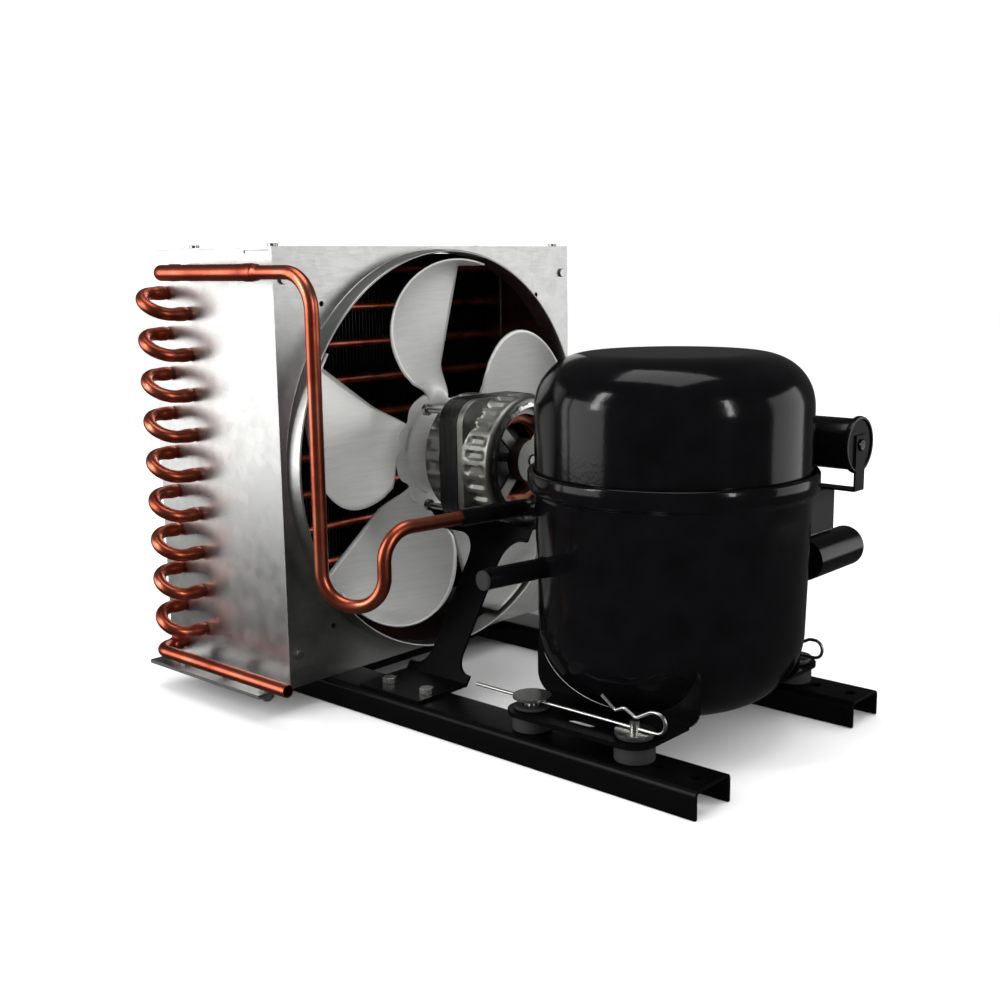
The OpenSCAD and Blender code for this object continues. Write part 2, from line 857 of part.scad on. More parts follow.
// One blade: a twisted sheet, as two layers of points joined round their edge
module blade() {
    layer = (blade_steps + 1) * (blade_cols + 1);
    row = blade_cols + 1;
    points = [for (lift = [blade_t / 2, -blade_t / 2], i = [0 : blade_steps], j = [0 : blade_cols])
        blade_point(blade_ring(i), j / blade_cols, lift)];
    front = [for (i = [0 : blade_steps - 1], j = [0 : blade_cols - 1], half = [0, 1])
        half == 0 ? [i * row + j, (i + 1) * row + j + 1, (i + 1) * row + j]
            : [i * row + j, i * row + j + 1, (i + 1) * row + j + 1]];
    back = [for (f = front) [f[2] + layer, f[1] + layer, f[0] + layer]];
    rim = concat([for (j = [0 : blade_cols]) j],
        [for (i = [1 : blade_steps]) i * row + blade_cols],
        [for (j = [blade_cols - 1 : -1 : 0]) blade_steps * row + j],
        [for (i = [blade_steps - 1 : -1 : 1]) i * row]);
    count = len(rim);
    edge = [for (k = [0 : count - 1], half = [0, 1])
        half == 0 ? [rim[k], rim[k] + layer, rim[(k + 1) % count] + layer]
            : [rim[k], rim[(k + 1) % count] + layer, rim[(k + 1) % count]]];
    polyhedron(points, concat(front, back, edge));
}

// The five blades and the round spider that they grow from
module fan_blades() {
    color("#D9D9D6") translate([blade_mid_x, axis_y, axis_z]) difference() {
        union() {
            translate([-blade_t / 2, 0, 0]) rod_x(spider_r, blade_t);
            for (i = [0 : blades - 1]) rotate([360 / blades * i, 0, 0]) blade();
        }
        translate([-blade_t / 2 - cut, 0, 0]) rod_x(hub_r + fit, blade_t + 2 * cut);
    }
}

module fan_hub() {
    color("#8E8E8A") translate([blade_mid_x - blade_t / 2 - gap - hub_flange_t, axis_y, axis_z])
        difference() {
        union() {
            rod_x(hub_flange_r, hub_flange_t);
            rod_x(hub_r, hub_l);
        }
        translate([-cut, 0, 0]) rod_x(shaft_d / 2 + running, hub_l + 2 * cut);
    }
}

hub_back_x = blade_mid_x - blade_t / 2 - gap - hub_flange_t;

module fan_nut() {
    color("#A8A8A4") translate([hub_back_x - fan_nut_h - gap, axis_y, axis_z]) difference() {
        rotate([0, 90, 0]) cylinder(d = nut_d, h = fan_nut_h, $fn = 6);
        translate([-cut, 0, 0]) rod_x(shaft_d / 2 + running, fan_nut_h + 2 * cut);
    }
}

// Fan motor

front_housing_x = core_x - front_l;
motor_end_x = core_back_x + rear_l;
front_bearing_x = front_housing_x + motor_wall;
rear_bearing_x = motor_end_x - end_cap_t - bearing_w;

module motor_shaft() {
    start = hub_back_x - fan_nut_h - 2 * gap - cut;
    color("#9A9A96") translate([start, axis_y, axis_z]) rod_x(shaft_d / 2, motor_end_x + cut - start);
}

module motor_rotor() {
    color("#7C7C78") translate([core_x, axis_y, axis_z]) difference() {
        rod_x(rotor_d / 2, core_l);
        translate([-cut, 0, 0]) rod_x(shaft_d / 2, core_l + 2 * cut);
    }
}

bolt_places = [for (y = [-1, 1], z = [-1, 1]) [axis_y + y * bolt_offset, axis_z + z * bolt_offset]];

module motor_core() {
    color("#131313") difference() {
        translate([core_x, axis_y, axis_z]) upright(core_l)
            translate([-core_w / 2, -core_w / 2]) rounded_rect(core_w, core_w, core_round_r);
        translate([core_x - cut, axis_y, axis_z]) rod_x(rotor_d / 2 + rotor_gap, core_l + 2 * cut);
        for (place = bolt_places) translate([core_x - cut, place[0], place[1]])
            rod_x(bolt_d / 2 + fit, core_l + 2 * cut);
    }
}

// The coils on both faces of the core
module motor_windings() {
    inner = rotor_d / 2 + rotor_gap + boss_wall;
    color("#A4522E") for (x = [core_x - winding_w - gap, core_back_x + gap])
        translate([x, axis_y, axis_z]) difference() {
            rod_x(inner + winding_w, winding_w);
            translate([-cut, 0, 0]) rod_x(inner, winding_w + 2 * cut);
        }
}

// A cup that holds the front bearing, bolted to the core
module motor_front_housing() {
    color("#A5A5A0") translate([front_housing_x, axis_y, axis_z]) difference() {
        union() {
            difference() {
                rod_x(front_r, front_l);
                translate([motor_wall, 0, 0]) rod_x(front_r - motor_wall, front_l);
            }
            translate([motor_wall / 2, 0, 0]) rod_x(bearing_r + boss_wall, bearing_w);
            for (place = bolt_places)
                translate([front_l - 2 * motor_wall, place[0] - axis_y, place[1] - axis_z])
                rod_x(bolt_head_d / 2 + boss_wall / 2, 2 * motor_wall);
        }
        translate([-cut, 0, 0]) rod_x(shaft_d / 2 + cut, front_l);
        translate([motor_wall, 0, 0]) rod_x(bearing_r + running, front_l);
        for (place = bolt_places) translate([-cut, place[0] - axis_y, place[1] - axis_z])
            rod_x(bolt_d / 2 + fit, front_l + 2 * cut);
    }
}

// The round rear shell, open at its end, with cooling slots along its side
slots = 14;
slot_share = 0.5;

module motor_rear_housing() {
    color("#A5A5A0") translate([core_back_x, axis_y, axis_z]) difference() {
        rod_x(rear_r, rear_l);
        translate([-cut, 0, 0]) rod_x(rear_r - motor_wall, rear_l - end_cap_t + cut);
        translate([0, 0, 0]) rod_x(end_ring_r - motor_wall, rear_l + cut);
        for (i = [0 : slots - 1]) rotate([360 / slots * (i + 0.5), 0, 0])
            translate([rear_l * (1 - slot_share) / 2, -motor_wall, rear_r - 2 * motor_wall])
                cube([rear_l * slot_share, 2 * motor_wall, 3 * motor_wall]);
    }
}

// The spoked plate in the rear opening, with the boss of the rear bearing
module motor_end_cap() {
    r = end_ring_r - motor_wall - gap;
    color("#8F8F8A") translate([motor_end_x - end_cap_t - bearing_w, axis_y, axis_z]) difference() {
        union() {
            difference() {
                rod_x(r, end_cap_t);
                translate([-cut, 0, 0]) rod_x(r - 2 * motor_wall, end_cap_t + 2 * cut);
            }
            rod_x(bearing_r + boss_wall, bearing_w + end_cap_t);
            for (i = [0 : spokes - 1]) rotate([360 / spokes * (i + 0.5), 0, 0])
                translate([0, -spoke_w / 2, 0]) cube([end_cap_t, spoke_w, r - motor_wall]);
        }
        translate([-cut, 0, 0]) rod_x(bearing_r + running, bearing_w + cut);
        rod_x(shaft_d / 2 + cut, bearing_w + end_cap_t + cut);
    }
}

module motor_bearings() {
    color("#77777A") for (x = [front_bearing_x, rear_bearing_x])
        translate([x, axis_y, axis_z]) difference() {
            rod_x(bearing_r, bearing_w - running);
            translate([-cut, 0, 0]) rod_x(shaft_d / 2 + running, bearing_w + 2 * cut);
        }
}

module motor_bolts() {
    l = front_l + core_l - motor_wall;
    color("#6B6B68") for (place = bolt_places)
        translate([core_back_x - motor_wall, place[0], place[1]]) rotate([0, -90, 0]) {
            translate([0, 0, l - front_l + motor_wall + cut]) cylinder(d = bolt_d, h = front_l - motor_wall);
            cylinder(d = bolt_d, h = l - front_l + motor_wall + cut);
            translate([0, 0, l + cut]) cylinder(d = bolt_head_d, h = bolt_head_h);
        }
}

// Motor bracket

bracket_screw_x = [foot_back_x + bracket_screw_back, foot_back_x + bracket_screw_back + bracket_screw_gap];
lean_screw_x = [arm_back_x + arm_l / 2 - neck_w / 2, arm_back_x + arm_l / 2 + neck_w / 2];

function arc(x, y, r, from, to) =
    [for (k = [0 : bend_steps]) let (a = from + (to - from) * k / bend_steps) [x + r * cos(a),
        y + r * sin(a)]];

// Front view of the bracket: a low strip, a neck with hollow corners and a cross arm
module bracket_outline() {
    low = rail_h - cut;
    lip = rail_h + foot_lip_h;
    high = bracket_top_z + bracket_t + cut;
    under = bracket_top_z + bracket_t - arm_h;
    polygon(concat([[foot_back_x, low], [foot_back_x + foot_l, low], [foot_back_x + foot_l, lip]],
        arc(neck_back_x + neck_w + foot_fillet_r, lip + foot_fillet_r, foot_fillet_r, 270, 180),
        arc(neck_back_x + neck_w + fillet_r, under - fillet_r, fillet_r, 180, 90),
        [[arm_back_x + arm_l, under], [arm_back_x + arm_l, high], [arm_back_x, high], [arm_back_x, under]],
        arc(neck_back_x - fillet_r, under - fillet_r, fillet_r, 90, 0),
        arc(neck_back_x - foot_fillet_r, lip + foot_fillet_r, foot_fillet_r, 0, -90),
        [[foot_back_x, lip]]));
}

// Side view of the bent sheet: a foot on the near rail, a leaning web and a flange under the motor
module bracket_profile() {
    foot_y = -near_rail_y - rail_w / 2 + foot_lip_back;
    bend_y = -top_flange_w / 2;
    lean = (bend_y + bracket_web - bracket_foot_y) / (bracket_top_z - rail_h);
    polygon([[foot_y, rail_h], [bracket_foot_y, rail_h], [bend_y + bracket_web, bracket_top_z],
        [top_flange_w / 2, bracket_top_z], [top_flange_w / 2, bracket_top_z + bracket_t],
        [bend_y, bracket_top_z + bracket_t], [bend_y, bracket_top_z],
        [bracket_foot_y - bracket_web + lean * bracket_t, bracket_base_z], [foot_y, bracket_base_z]]);
}

module motor_bracket() {
    color("#0F0F10") difference() {
        intersection() {
            translate([arm_back_x - cut, 0, 0]) rotate([90, 0, 90]) linear_extrude(arm_l + 2 * cut)
                bracket_profile();
            translate([0, half_w, 0]) rotate([90, 0, 0]) linear_extrude(2 * half_w) bracket_outline();
        }
        for (x = bracket_screw_x)
            translate([x, -near_rail_y, rail_h - cut]) cylinder(d = screw_hole_d, h = bracket_t + 2 * cut);
        for (x = lean_screw_x)
            translate([x, axis_y + top_flange_w / 4, bracket_top_z - cut])
                cylinder(d = screw_hole_d, h = bracket_t + 2 * cut);
    }
}

// Hexagon screws through the bracket's foot into the rail, and through its flange into the motor
module bracket_screws() {
    color("#C8C8C4") {
        for (x = bracket_screw_x) translate([x, -near_rail_y, rail_h + bracket_t])
            hex_screw(screw_d, screw_l, flange_head_d, flange_head_h);
        for (x = lean_screw_x) translate([x, axis_y + top_flange_w / 4, bracket_top_z]) rotate([180, 0, 0])
            hex_screw(screw_d, bracket_t + gap, screw_head_d, screw_head_h);
    }
}

// Compressor shell

// Half of the shell's outline below the seam, drawn in from the surface by an amount
module low_half(inset) {
    r = shell_r - low_taper;
    k = low_knuckle_r - inset;
    z = low_z + low_knuckle_r;
    square_low = low_z + inset;
    intersection() {
        translate([r - low_knuckle_r, z]) circle(k, $fn = 2 * round_fn);
        translate([0, square_low]) square([shell_r, z - square_low]);
    }
    translate([0, square_low]) square([r - low_knuckle_r, z - square_low]);
    polygon([[0, z], [r - inset, z], [shell_r - inset, rim_low_z], [shell_r - inset, seam_z], [0, seam_z]]);
}

module compressor_lower_shell() {
    color("#0A0A0B") difference() {
        translate([cx, cy, 0]) union() {
            rotate_extrude($fn = 2 * round_fn) difference() {
                union() {
                    low_half(0);
                    rim_half();
                }
                low_half(shell_t);
                translate([0, rim_low_z + shell_t]) square([shell_r + socket_gap, seam_z]);
            }
        }
        translate(discharge_root) aim(unit(discharge_root - discharge_knee)) translate([0, 0, -shell_t])
            cylinder(r = stub_d / 2 + fit, h = 4 * shell_t);
        translate(suction_root) aim(unit(suction_root - suction_end)) translate([0, 0, -6 * shell_t])
            cylinder(r = suction_d / 2 - neck_step + fit, h = 8 * shell_t);
    }
}

// The flared rim that holds the upper shell
module rim_half() {
    r = rim_step / 2;
    translate([0, rim_low_z]) square([shell_r + rim_step - r, seam_z - rim_low_z]);
    translate([0, rim_low_z + r]) square([shell_r + rim_step, seam_z - rim_low_z - 2 * r]);
    for (z = [rim_low_z + r, seam_z - r]) translate([shell_r + rim_step - r, z]) circle(r);
}

// Half of the dome's outline, drawn in from the surface by an amount
module top_half(inset) {
    k = top_knuckle_r;
    z = top_z - k;
    start = seam_z - lap_h;
    translate([0, start]) square([shell_r - inset, z - start]);
    translate([0, start]) square([shell_r - k, top_z - inset - start]);
    intersection() {
        translate([shell_r - k, z]) circle(k - inset, $fn = 2 * round_fn);
        square([shell_r, top_z]);
    }
}

module compressor_upper_shell() {
    color("#0A0A0B") translate([cx, cy, 0]) rotate_extrude($fn = 2 * round_fn) difference() {
        top_half(0);
        translate([0, -cut]) top_half(shell_t);
        translate([0, seam_z - lap_h - cut]) square([shell_r - shell_t, 2 * cut]);
    }
}

discharge_root = [cx + shell_r * cos(discharge_angle), cy + shell_r * sin(discharge_angle), discharge_z];

// Compressor feet and mountings

// A foot seen from the compressor's axis: a plate over the rail and a wall that meets the shell.
// side is -1 for the near rail.
module mount_foot(side) {
    wall = foot_wall_y;
    w = rail_span / 2 + foot_out - wall;
    color("#0D0D0E") translate([cx, cy, 0]) mirror([0, side < 0 ? 1 : 0, 0]) difference() {
        union() {
            translate([-foot_len / 2, wall, foot_plate_z]) linear_extrude(foot_plate_t)
                translate([0, -foot_end_r]) rounded_foot(w + foot_end_r);
            translate([-foot_wall_l / 2, wall, foot_plate_z]) side_upright(foot_plate_t)
                rounded_rect(foot_wall_l, foot_wall_h, foot_end_r);
        }
        translate([-foot_len / 2 - cut, wall - foot_end_r - cut, foot_plate_z - cut])
            cube([foot_len + 2 * cut, foot_end_r + cut, foot_plate_t + 2 * cut]);
        rotate_extrude($fn = 2 * round_fn) low_half(-gap);
        for (x = [-1, 1]) translate([x * pin_pitch / 2, rail_span / 2, foot_plate_z - cut])
            cylinder(r = grommet_neck_r + fit, h = foot_plate_t + 2 * cut);
        translate([0, rail_span / 2, foot_plate_z - cut]) linear_extrude(foot_plate_t + 2 * cut)
            foot_slot();
    }
}

module rounded_foot(w) {
    rounded_rect(foot_len, w, foot_end_r);
}

module foot_slot() {
    l = foot_slot_l - foot_slot_w;
    translate([-l / 2, -foot_slot_w / 2]) square([l, foot_slot_w]);
    for (x = [-l / 2, l / 2]) translate([x, 0]) circle(d = foot_slot_w);
}

module mount_foot_near() {
    mount_foot(-1);
}

module mount_foot_far() {
    mount_foot(1);
}

// Rubber grommets that clip into the feet, one solid each
module grommets() {
    low = foot_plate_z - rail_h - fit;
    top = foot_plate_z + foot_plate_t + fit;
    color("#141414") for (place = pin_places) translate([place[0], place[1], rail_h]) difference() {
        union() {
            cylinder(r = grommet_r, h = low);
            cylinder(r = grommet_neck_r, h = top - rail_h);
            translate([0, 0, top - rail_h]) cylinder(r = grommet_top_r, h = grommet_top_h - fit);
        }
        translate([0, 0, -cut]) cylinder(r = pin_collar_r + fit, h = disc_z);
    }
}

// Pins that stand on the rails: a collar inside the grommet, a cross hole for the clip and a
// broad disc. The disc lies over the clip on the back pins and under it on the front pins.
module mount_pins() {
    color("#9C9C98") for (place = pin_places) translate([place[0], place[1], 0]) difference() {
        front = place[0] > cx;
        union() {
            translate([0, 0, rail_h - rail_t])
                cylinder(r = pin_r, h = (front ? pin_top_z : head_z + cut) - rail_h + rail_t);
            translate([0, 0, rail_h]) cylinder(r = pin_collar_r, h = disc_z - rail_h);
            translate([0, 0, front ? disc_z : head_z]) cylinder(r = pin_head_r, h = pin_head_t);
        }
        translate([-pin_r - cut, 0, wire_z]) rod_x(wire_d / 2 + fit, 2 * pin_r + 2 * cut);
    }
}

// Points of the clip's spring end, as shares of its reach past the front pin and of its height
clip_shares = [[1, 0], [1, 1], [0.55, 1], [0.03, 0.5], [-0.37, 0.86], [-0.66, 0.6], [-1.13, 1.2]];
// Bend radii along the clip, as shares of the wire's diameter
clip_bend_shares = [0, 2.6, 2.6, 2.5, 1.5, 1.25, 0.8, 0];

// One wire on each rail: a long leg through both pins, a round loop and a bowed end that grips
// the front pin
module retaining_clips() {
    route = concat([[-pin_pitch - clip_tail, 0, 0]],
        [for (p = clip_shares) [p[0] * clip_reach, 0, p[1] * clip_h]]);
    color("#BDBDB9") for (y = [cy - rail_span / 2, cy + rail_span / 2])
        translate([cx + pin_pitch / 2, y, wire_z])
            swept_bar(route, clip_bend_shares * wire_d, wire_d / 2, wire_sides);
}

// Stubs

discharge_route = [discharge_end, discharge_knee,
    discharge_root + unit(discharge_root - discharge_knee) * shell_t];

module discharge_stub() {
    color("#0C0C0C")
        swept_tube(discharge_route, [0, discharge_bend_r, 0], stub_d / 2, tube_r + fit, pipe_sides);
}

suction_way = unit(suction_end - suction_root);

// A stub drawn down at its root, where it is brazed into the shell
module suction_stub() {
    start = suction_root - suction_way * 2 * shell_t;
    l = norm(suction_end - start);
    color("#0C0C0C") translate(start) aim(suction_way) difference() {
        union() {
            cylinder(r = suction_d / 2 - neck_step, h = l);
            translate([0, 0, l - suction_run]) cylinder(r = suction_d / 2, h = suction_run);
        }
        translate([0, 0, -cut]) cylinder(r = suction_d / 2 - suction_wall, h = l + 2 * cut);
    }
}

// The rubber plug that closes the suction stub until it is connected
module suction_plug() {
    r = suction_d / 2;
    color("#101010") translate(suction_end) aim(suction_way) {
        translate([0, 0, -plug_in]) cylinder(r = r - suction_wall - plug_clear, h = plug_in);
        cylinder(r = r - neck_step, h = plug_lip);
    }
}

// Electrical parts

module terminal_cover() {
    color("#0E0E0E") difference() {
        translate([cover_x - cover_w / 2, cover_y - cover_d / 2, cover_z]) cube([cover_w, cover_d, cover_h]);
        translate([cover_x - cover_w / 2 + cover_t, cover_y - cover_d / 2 - cut, cover_z + cover_t])
            cube([cover_w - 2 * cover_t, cover_d - cover_t + cut, cover_h - 2 * cover_t]);
        translate([cx, cy, cover_z - cut])
            cylinder(r = shell_r + gap, h = cover_h + 2 * cut, $fn = 2 * round_fn);
    }
}

terminal_r = 1.2;
terminal_l = 9;
terminal_gap = 5;
plate_r = 9;
plate_t = 3;

// The glass-sealed plate with three pins, on the shell behind the cover
module terminal_pins() {
    way = [cover_x - cx, cover_y - cy, 0];
    color("#8A8A86") translate([cx, cy, cover_z + cover_h / 2]) aim(unit(way)) {
        translate([0, 0, shell_r + gap]) cylinder(r = plate_r, h = plate_t);
        for (i = [0 : 2]) rotate([0, 0, 120 * i]) translate([terminal_gap, 0, shell_r + gap])
            cylinder(r = terminal_r, h = plate_t + terminal_l);
    }
}

module start_capacitor() {
    color("#0B0B0B") translate([cap_x, cap_y, cap_z]) rod_x(cap_r, cap_l);
}

// A round end plate with a strap that runs down and back under the can to the terminal cover
module capacitor_strap() {
    x = cap_x + cap_l + gap;
    low = cover_z + cover_h;
    end = x + cap_disc_t + strap_t;
    color("#15181A") {
        translate([x, cap_y, cap_z]) rod_x(cap_disc_r, cap_disc_t);
        translate([x + cap_disc_t, cap_y - strap_w / 2, low])
            cube([strap_t, strap_w, cap_z + strap_w / 2 - low]);
        translate([cover_x, cap_y - strap_w / 2, low]) cube([end - cover_x, strap_w, strap_t]);
        translate([cap_x + cap_l / 4, cap_y - strap_w / 2, low])
            cube([strap_t, strap_w, cap_z - cap_r - gap - low]);
    }
}

module run_capacitor() {
    color("#0B0B0B") translate([run_x, run_y, run_z]) difference() {
        union() {
            rod_y(run_r, run_l - run_round_r);
            rod_y(run_r - run_round_r, run_l);
            translate([0, run_l - run_round_r, 0]) rotate([-90, 0, 0])
                rotate_extrude() translate([run_r - run_round_r, 0]) circle(run_round_r);
        }
        translate([cx - run_x, cy - run_y, -run_r - cut])
            cylinder(r = shell_r + gap, h = 2 * run_r + 2 * cut, $fn = 2 * round_fn);
    }
}

// Mechanism inside the shell

// The casting that carries the crankshaft, the stator and the cylinder
module crankcase() {
    bore = piston_d / 2 + running;
    wall = bore + cylinder_wall;
    z = rod_z - wall;
    color("#5A5A5A") translate([0, cy, 0]) difference() {
        union() {
            translate([cx, 0, block_z - block_t]) cylinder(r = block_r, h = block_t);
            translate([cylinder_end_x - cylinder_l, -wall, z]) cube([cylinder_l, 2 * wall, 2 * wall]);
            translate([cx + crank_d, -wall, block_z - cut])
                cube([cylinder_end_x - cx - crank_d, 2 * wall, z - block_z + 2 * cut]);
        }
        translate([cx, 0, block_z - block_t - cut])
            cylinder(r = crank_d / 2 + running, h = block_t + 2 * cut);
        translate([cx, 0, rod_z]) rod_x(bore, cylinder_end_x - cx + cut);
        translate([cx, 0, block_z - cut])
            cylinder(r = crank_web_r + crank_throw + rod_eye_r, h = crank_web_t + 2 * crank_pin_h);
    }
}

module suspension_springs() {
    h = stator_z - low_z - shell_t - 2 * gap;
    color("#77777A") for (x = [-1, 1], y = [-1, 1])
        translate([cx + x * spring_offset / sqrt(2), cy + y * spring_offset / sqrt(2), stator_z - h - gap])
            difference() {
            cylinder(r = spring_r, h = h);
            translate([0, 0, -cut]) cylinder(r = spring_r - spring_wire_d, h = h + 2 * cut);
        }
}

module compressor_stator() {
    color("#4A4A4C") translate([cx, cy, stator_z]) difference() {
        cylinder(r = stator_r, h = stator_h);
        translate([0, 0, -cut]) cylinder(r = stator_bore_r, h = stator_h + 2 * cut);
    }
}

module stator_windings() {
    color("#A4522E") for (z = [stator_z - winding_h - gap, stator_z + stator_h + gap])
        translate([cx, cy, z]) difference() {
            cylinder(r = stator_r - winding_in, h = winding_h);
            translate([0, 0, -cut]) cylinder(r = stator_bore_r + winding_in, h = winding_h + 2 * cut);
        }
}

module compressor_rotor() {
    color("#6B6B6B") translate([cx, cy, stator_z]) difference() {
        cylinder(r = rotor_r, h = stator_h);
        translate([0, 0, -cut]) cylinder(r = crank_d / 2, h = stator_h + 2 * cut);
    }
}

// The vertical shaft with its web and its crankpin, drawn with the piston at the end of its stroke
module crankshaft() {
    low = stator_z - cut;
    web_z = block_z + gap;
    color("#84847F") translate([cx, cy, 0]) {
        translate([0, 0, low]) cylinder(r = crank_d / 2, h = web_z - low);
        translate([0, 0, web_z]) cylinder(r = crank_web_r, h = crank_web_t);
        translate([crank_throw, 0, web_z]) cylinder(r = crank_pin_r, h = crank_web_t + crank_pin_h);
    }
}

// The rod, with the wrist pin in its small eye
module connecting_rod() {
    color("#90908C") translate([cx + crank_throw, cy, rod_z - rod_t / 2]) difference() {
        union() {
            cylinder(r = rod_eye_r, h = rod_t);
            translate([0, -rod_small_r / 2, 0]) cube([rod_l, rod_small_r, rod_t]);
            translate([rod_l, 0, 0]) cylinder(r = rod_small_r, h = rod_t);
            translate([rod_l, 0, (rod_t - wrist_l) / 2]) cylinder(r = wrist_r, h = wrist_l);
        }
        translate([0, 0, -cut]) cylinder(r = crank_pin_r + running, h = rod_t + 2 * cut);
    }
}

// A hollow piston, open towards the crank
module piston() {
    color("#9A9A96") translate([crown_x - piston_l, cy, rod_z]) difference() {
        rod_x(piston_d / 2, piston_l);
        translate([-cut, 0, 0]) rod_x(piston_d / 2 - piston_wall, piston_l - piston_wall + cut);
    }
}

module cylinder_head() {
    bore = piston_d / 2 + running;
    w = 2 * (bore + cylinder_wall);
    color("#606060") translate([cylinder_end_x + gap, cy - w / 2, rod_z - w / 2]) cube([head_t, w, w]);
}

rail_near();
rail_far();
cross_braces();
casing_floor();
side_panel_near();
side_panel_far();
front_panel();
top_panel();
tube_sheet_near();
tube_sheet_far();
fin_pack();
coil_tubes();
return_bends_near();
return_bends_far();
inlet_pipe();
hot_gas_line();
outlet_pipe();
fan_blades();
fan_hub();
fan_nut();
motor_shaft();
motor_rotor();
motor_core();
motor_windings();
motor_front_housing();
motor_rear_housing();
motor_end_cap();
motor_bearings();
motor_bolts();
motor_bracket();
bracket_screws();
casing_screws();
flange_screws();
compressor_lower_shell();
compressor_upper_shell();
mount_foot_near();
mount_foot_far();
grommets();
mount_pins();
retaining_clips();
discharge_stub();
suction_stub();
suction_plug();
terminal_cover();
terminal_pins();
start_capacitor();
capacitor_strap();
run_capacitor();
crankcase();
suspension_springs();
compressor_stator();
stator_windings();
compressor_rotor();
crankshaft();
connecting_rod();
piston();
cylinder_head();
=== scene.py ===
"""Looks of a condensing unit: a finned coil in a sheet casing, a fan, its motor and a compressor on two rails."""

import math

import bmesh
import bpy
import numpy as np
from bpy.props import FloatProperty, FloatVectorProperty, IntProperty, PointerProperty
from mathutils import Matrix, Vector


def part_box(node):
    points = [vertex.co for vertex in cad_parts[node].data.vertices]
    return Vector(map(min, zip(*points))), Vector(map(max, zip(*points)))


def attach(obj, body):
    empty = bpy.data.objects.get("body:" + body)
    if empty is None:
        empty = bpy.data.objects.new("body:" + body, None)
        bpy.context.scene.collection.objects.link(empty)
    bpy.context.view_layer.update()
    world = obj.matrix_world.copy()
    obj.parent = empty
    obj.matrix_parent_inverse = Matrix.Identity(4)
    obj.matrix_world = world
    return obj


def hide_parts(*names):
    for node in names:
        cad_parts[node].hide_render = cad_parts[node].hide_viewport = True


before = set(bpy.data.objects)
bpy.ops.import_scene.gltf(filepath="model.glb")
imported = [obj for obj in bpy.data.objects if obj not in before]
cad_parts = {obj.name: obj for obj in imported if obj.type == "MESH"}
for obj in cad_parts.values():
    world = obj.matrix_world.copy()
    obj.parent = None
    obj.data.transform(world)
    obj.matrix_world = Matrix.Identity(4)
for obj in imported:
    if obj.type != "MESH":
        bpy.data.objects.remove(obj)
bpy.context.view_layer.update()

bl_info = {
    "name": "Condensing Unit Builder",
    "version": (1, 0, 0),
    "blender": (4, 5, 0),
    "location": "View3D > Sidebar > Condensing Unit",
    "description": "Builds the pieces, finishes and studio of a small condensing unit",
    "category": "Add Mesh",
}

MM = 0.001


# Places taken from the frame, in millimetres

def corners(name):
    """Lowest and highest corner of a frame node in millimetres."""
    low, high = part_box(name)
    return np.array(low) / MM, np.array(high) / MM


FACE_X = corners("side_panel_near")[1][0]
core_low, core_high = corners("motor_core")
AXIS_Z = (core_low[2] + core_high[2]) / 2
shell_low, shell_high = corners("compressor_upper_shell")
COMP_X = (shell_low[0] + shell_high[0]) / 2
COMP_Y = (shell_low[1] + shell_high[1]) / 2
fin_low, fin_high = corners("fin_pack")
REAR_ROW_X = -170.0
FRONT_ROW_X = -148.0
LOW_TUBE_Z = 26.0
TUBE_STEP = 25.4
TUBE_END_Y = 146.0
SEAM_Z = 156.0
DISCHARGE_Z = SEAM_Z - 28
SUCTION_Z = SEAM_Z - 52.5
FAN_X = FACE_X - 1.5


def colour_property(name, description, shade):
    """A colour setting whose default is given as a hex string."""
    return FloatVectorProperty(name=name, description=description, subtype="COLOR", size=3,
                               min=0, max=1, default=linear(shade)[:3])


def length(name, description, millimetres):
    """A length setting whose default is given in millimetres."""
    return FloatProperty(name=name, description=description, subtype="DISTANCE", unit="LENGTH",
                         min=0, default=millimetres * MM, precision=5)


def linear(shade):
    """A hex colour as linear red, green, blue and alpha."""
    values = [int(shade[i:i + 2], 16) / 255 for i in (1, 3, 5)]
    return tuple(v / 12.92 if v <= 0.04045 else ((v + 0.055) / 1.055) ** 2.4 for v in values) + (1.0,)


# Settings

class CasingSettings(bpy.types.PropertyGroup):
    opening_radius: length("Opening radius", "Inner radius of the round fan opening", 130)
    ring_depth: length("Ring depth", "How far the rolled ring stands out of the face", 13)
    ring_wall: length("Ring wall", "Thickness of the rolled ring", 1.6)
    sheet: length("Sheet", "Thickness of the casing sheet", 1)
    edge: length("Edge", "Rounding of the sheet edges", 0.35)


class CoilSettings(bpy.types.PropertyGroup):
    fin_count: IntProperty(name="Fins", description="Number of fins across the coil", default=84, min=20, max=140)
    fin_sheet: length("Fin sheet", "Thickness of one fin", 0.25)
    tube_radius: length("Tube radius", "Outer radius of the coil tubes", 3.97)
    socket_swell: length("Socket swell", "How much a belled tube end is wider than the tube", 0.5)


class FanSettings(bpy.types.PropertyGroup):
    tip_radius: length("Tip radius", "Radius of the blade tips", 126.6)
    sheet: length("Blade sheet", "Thickness of the blades", 1.2)
    sweep: FloatProperty(name="Sweep", description="Angle that the widest part of a blade spans",
                         subtype="ANGLE", default=math.radians(54))
    camber: length("Camber", "Hollow of the blades across their width", 2)


class CompressorSettings(bpy.types.PropertyGroup):
    radius: length("Shell radius", "Outer radius of the shell at the seam", 78.3)
    wall: length("Shell wall", "Thickness of the drawn steel shell", 3)
    shoulder: length("Shoulder", "Rounding of the shell's upper edge", 34)
    knuckle: length("Knuckle", "Rounding of the shell's lower edge", 42)
    rim: length("Rim", "How far the seam rim stands out", 4)


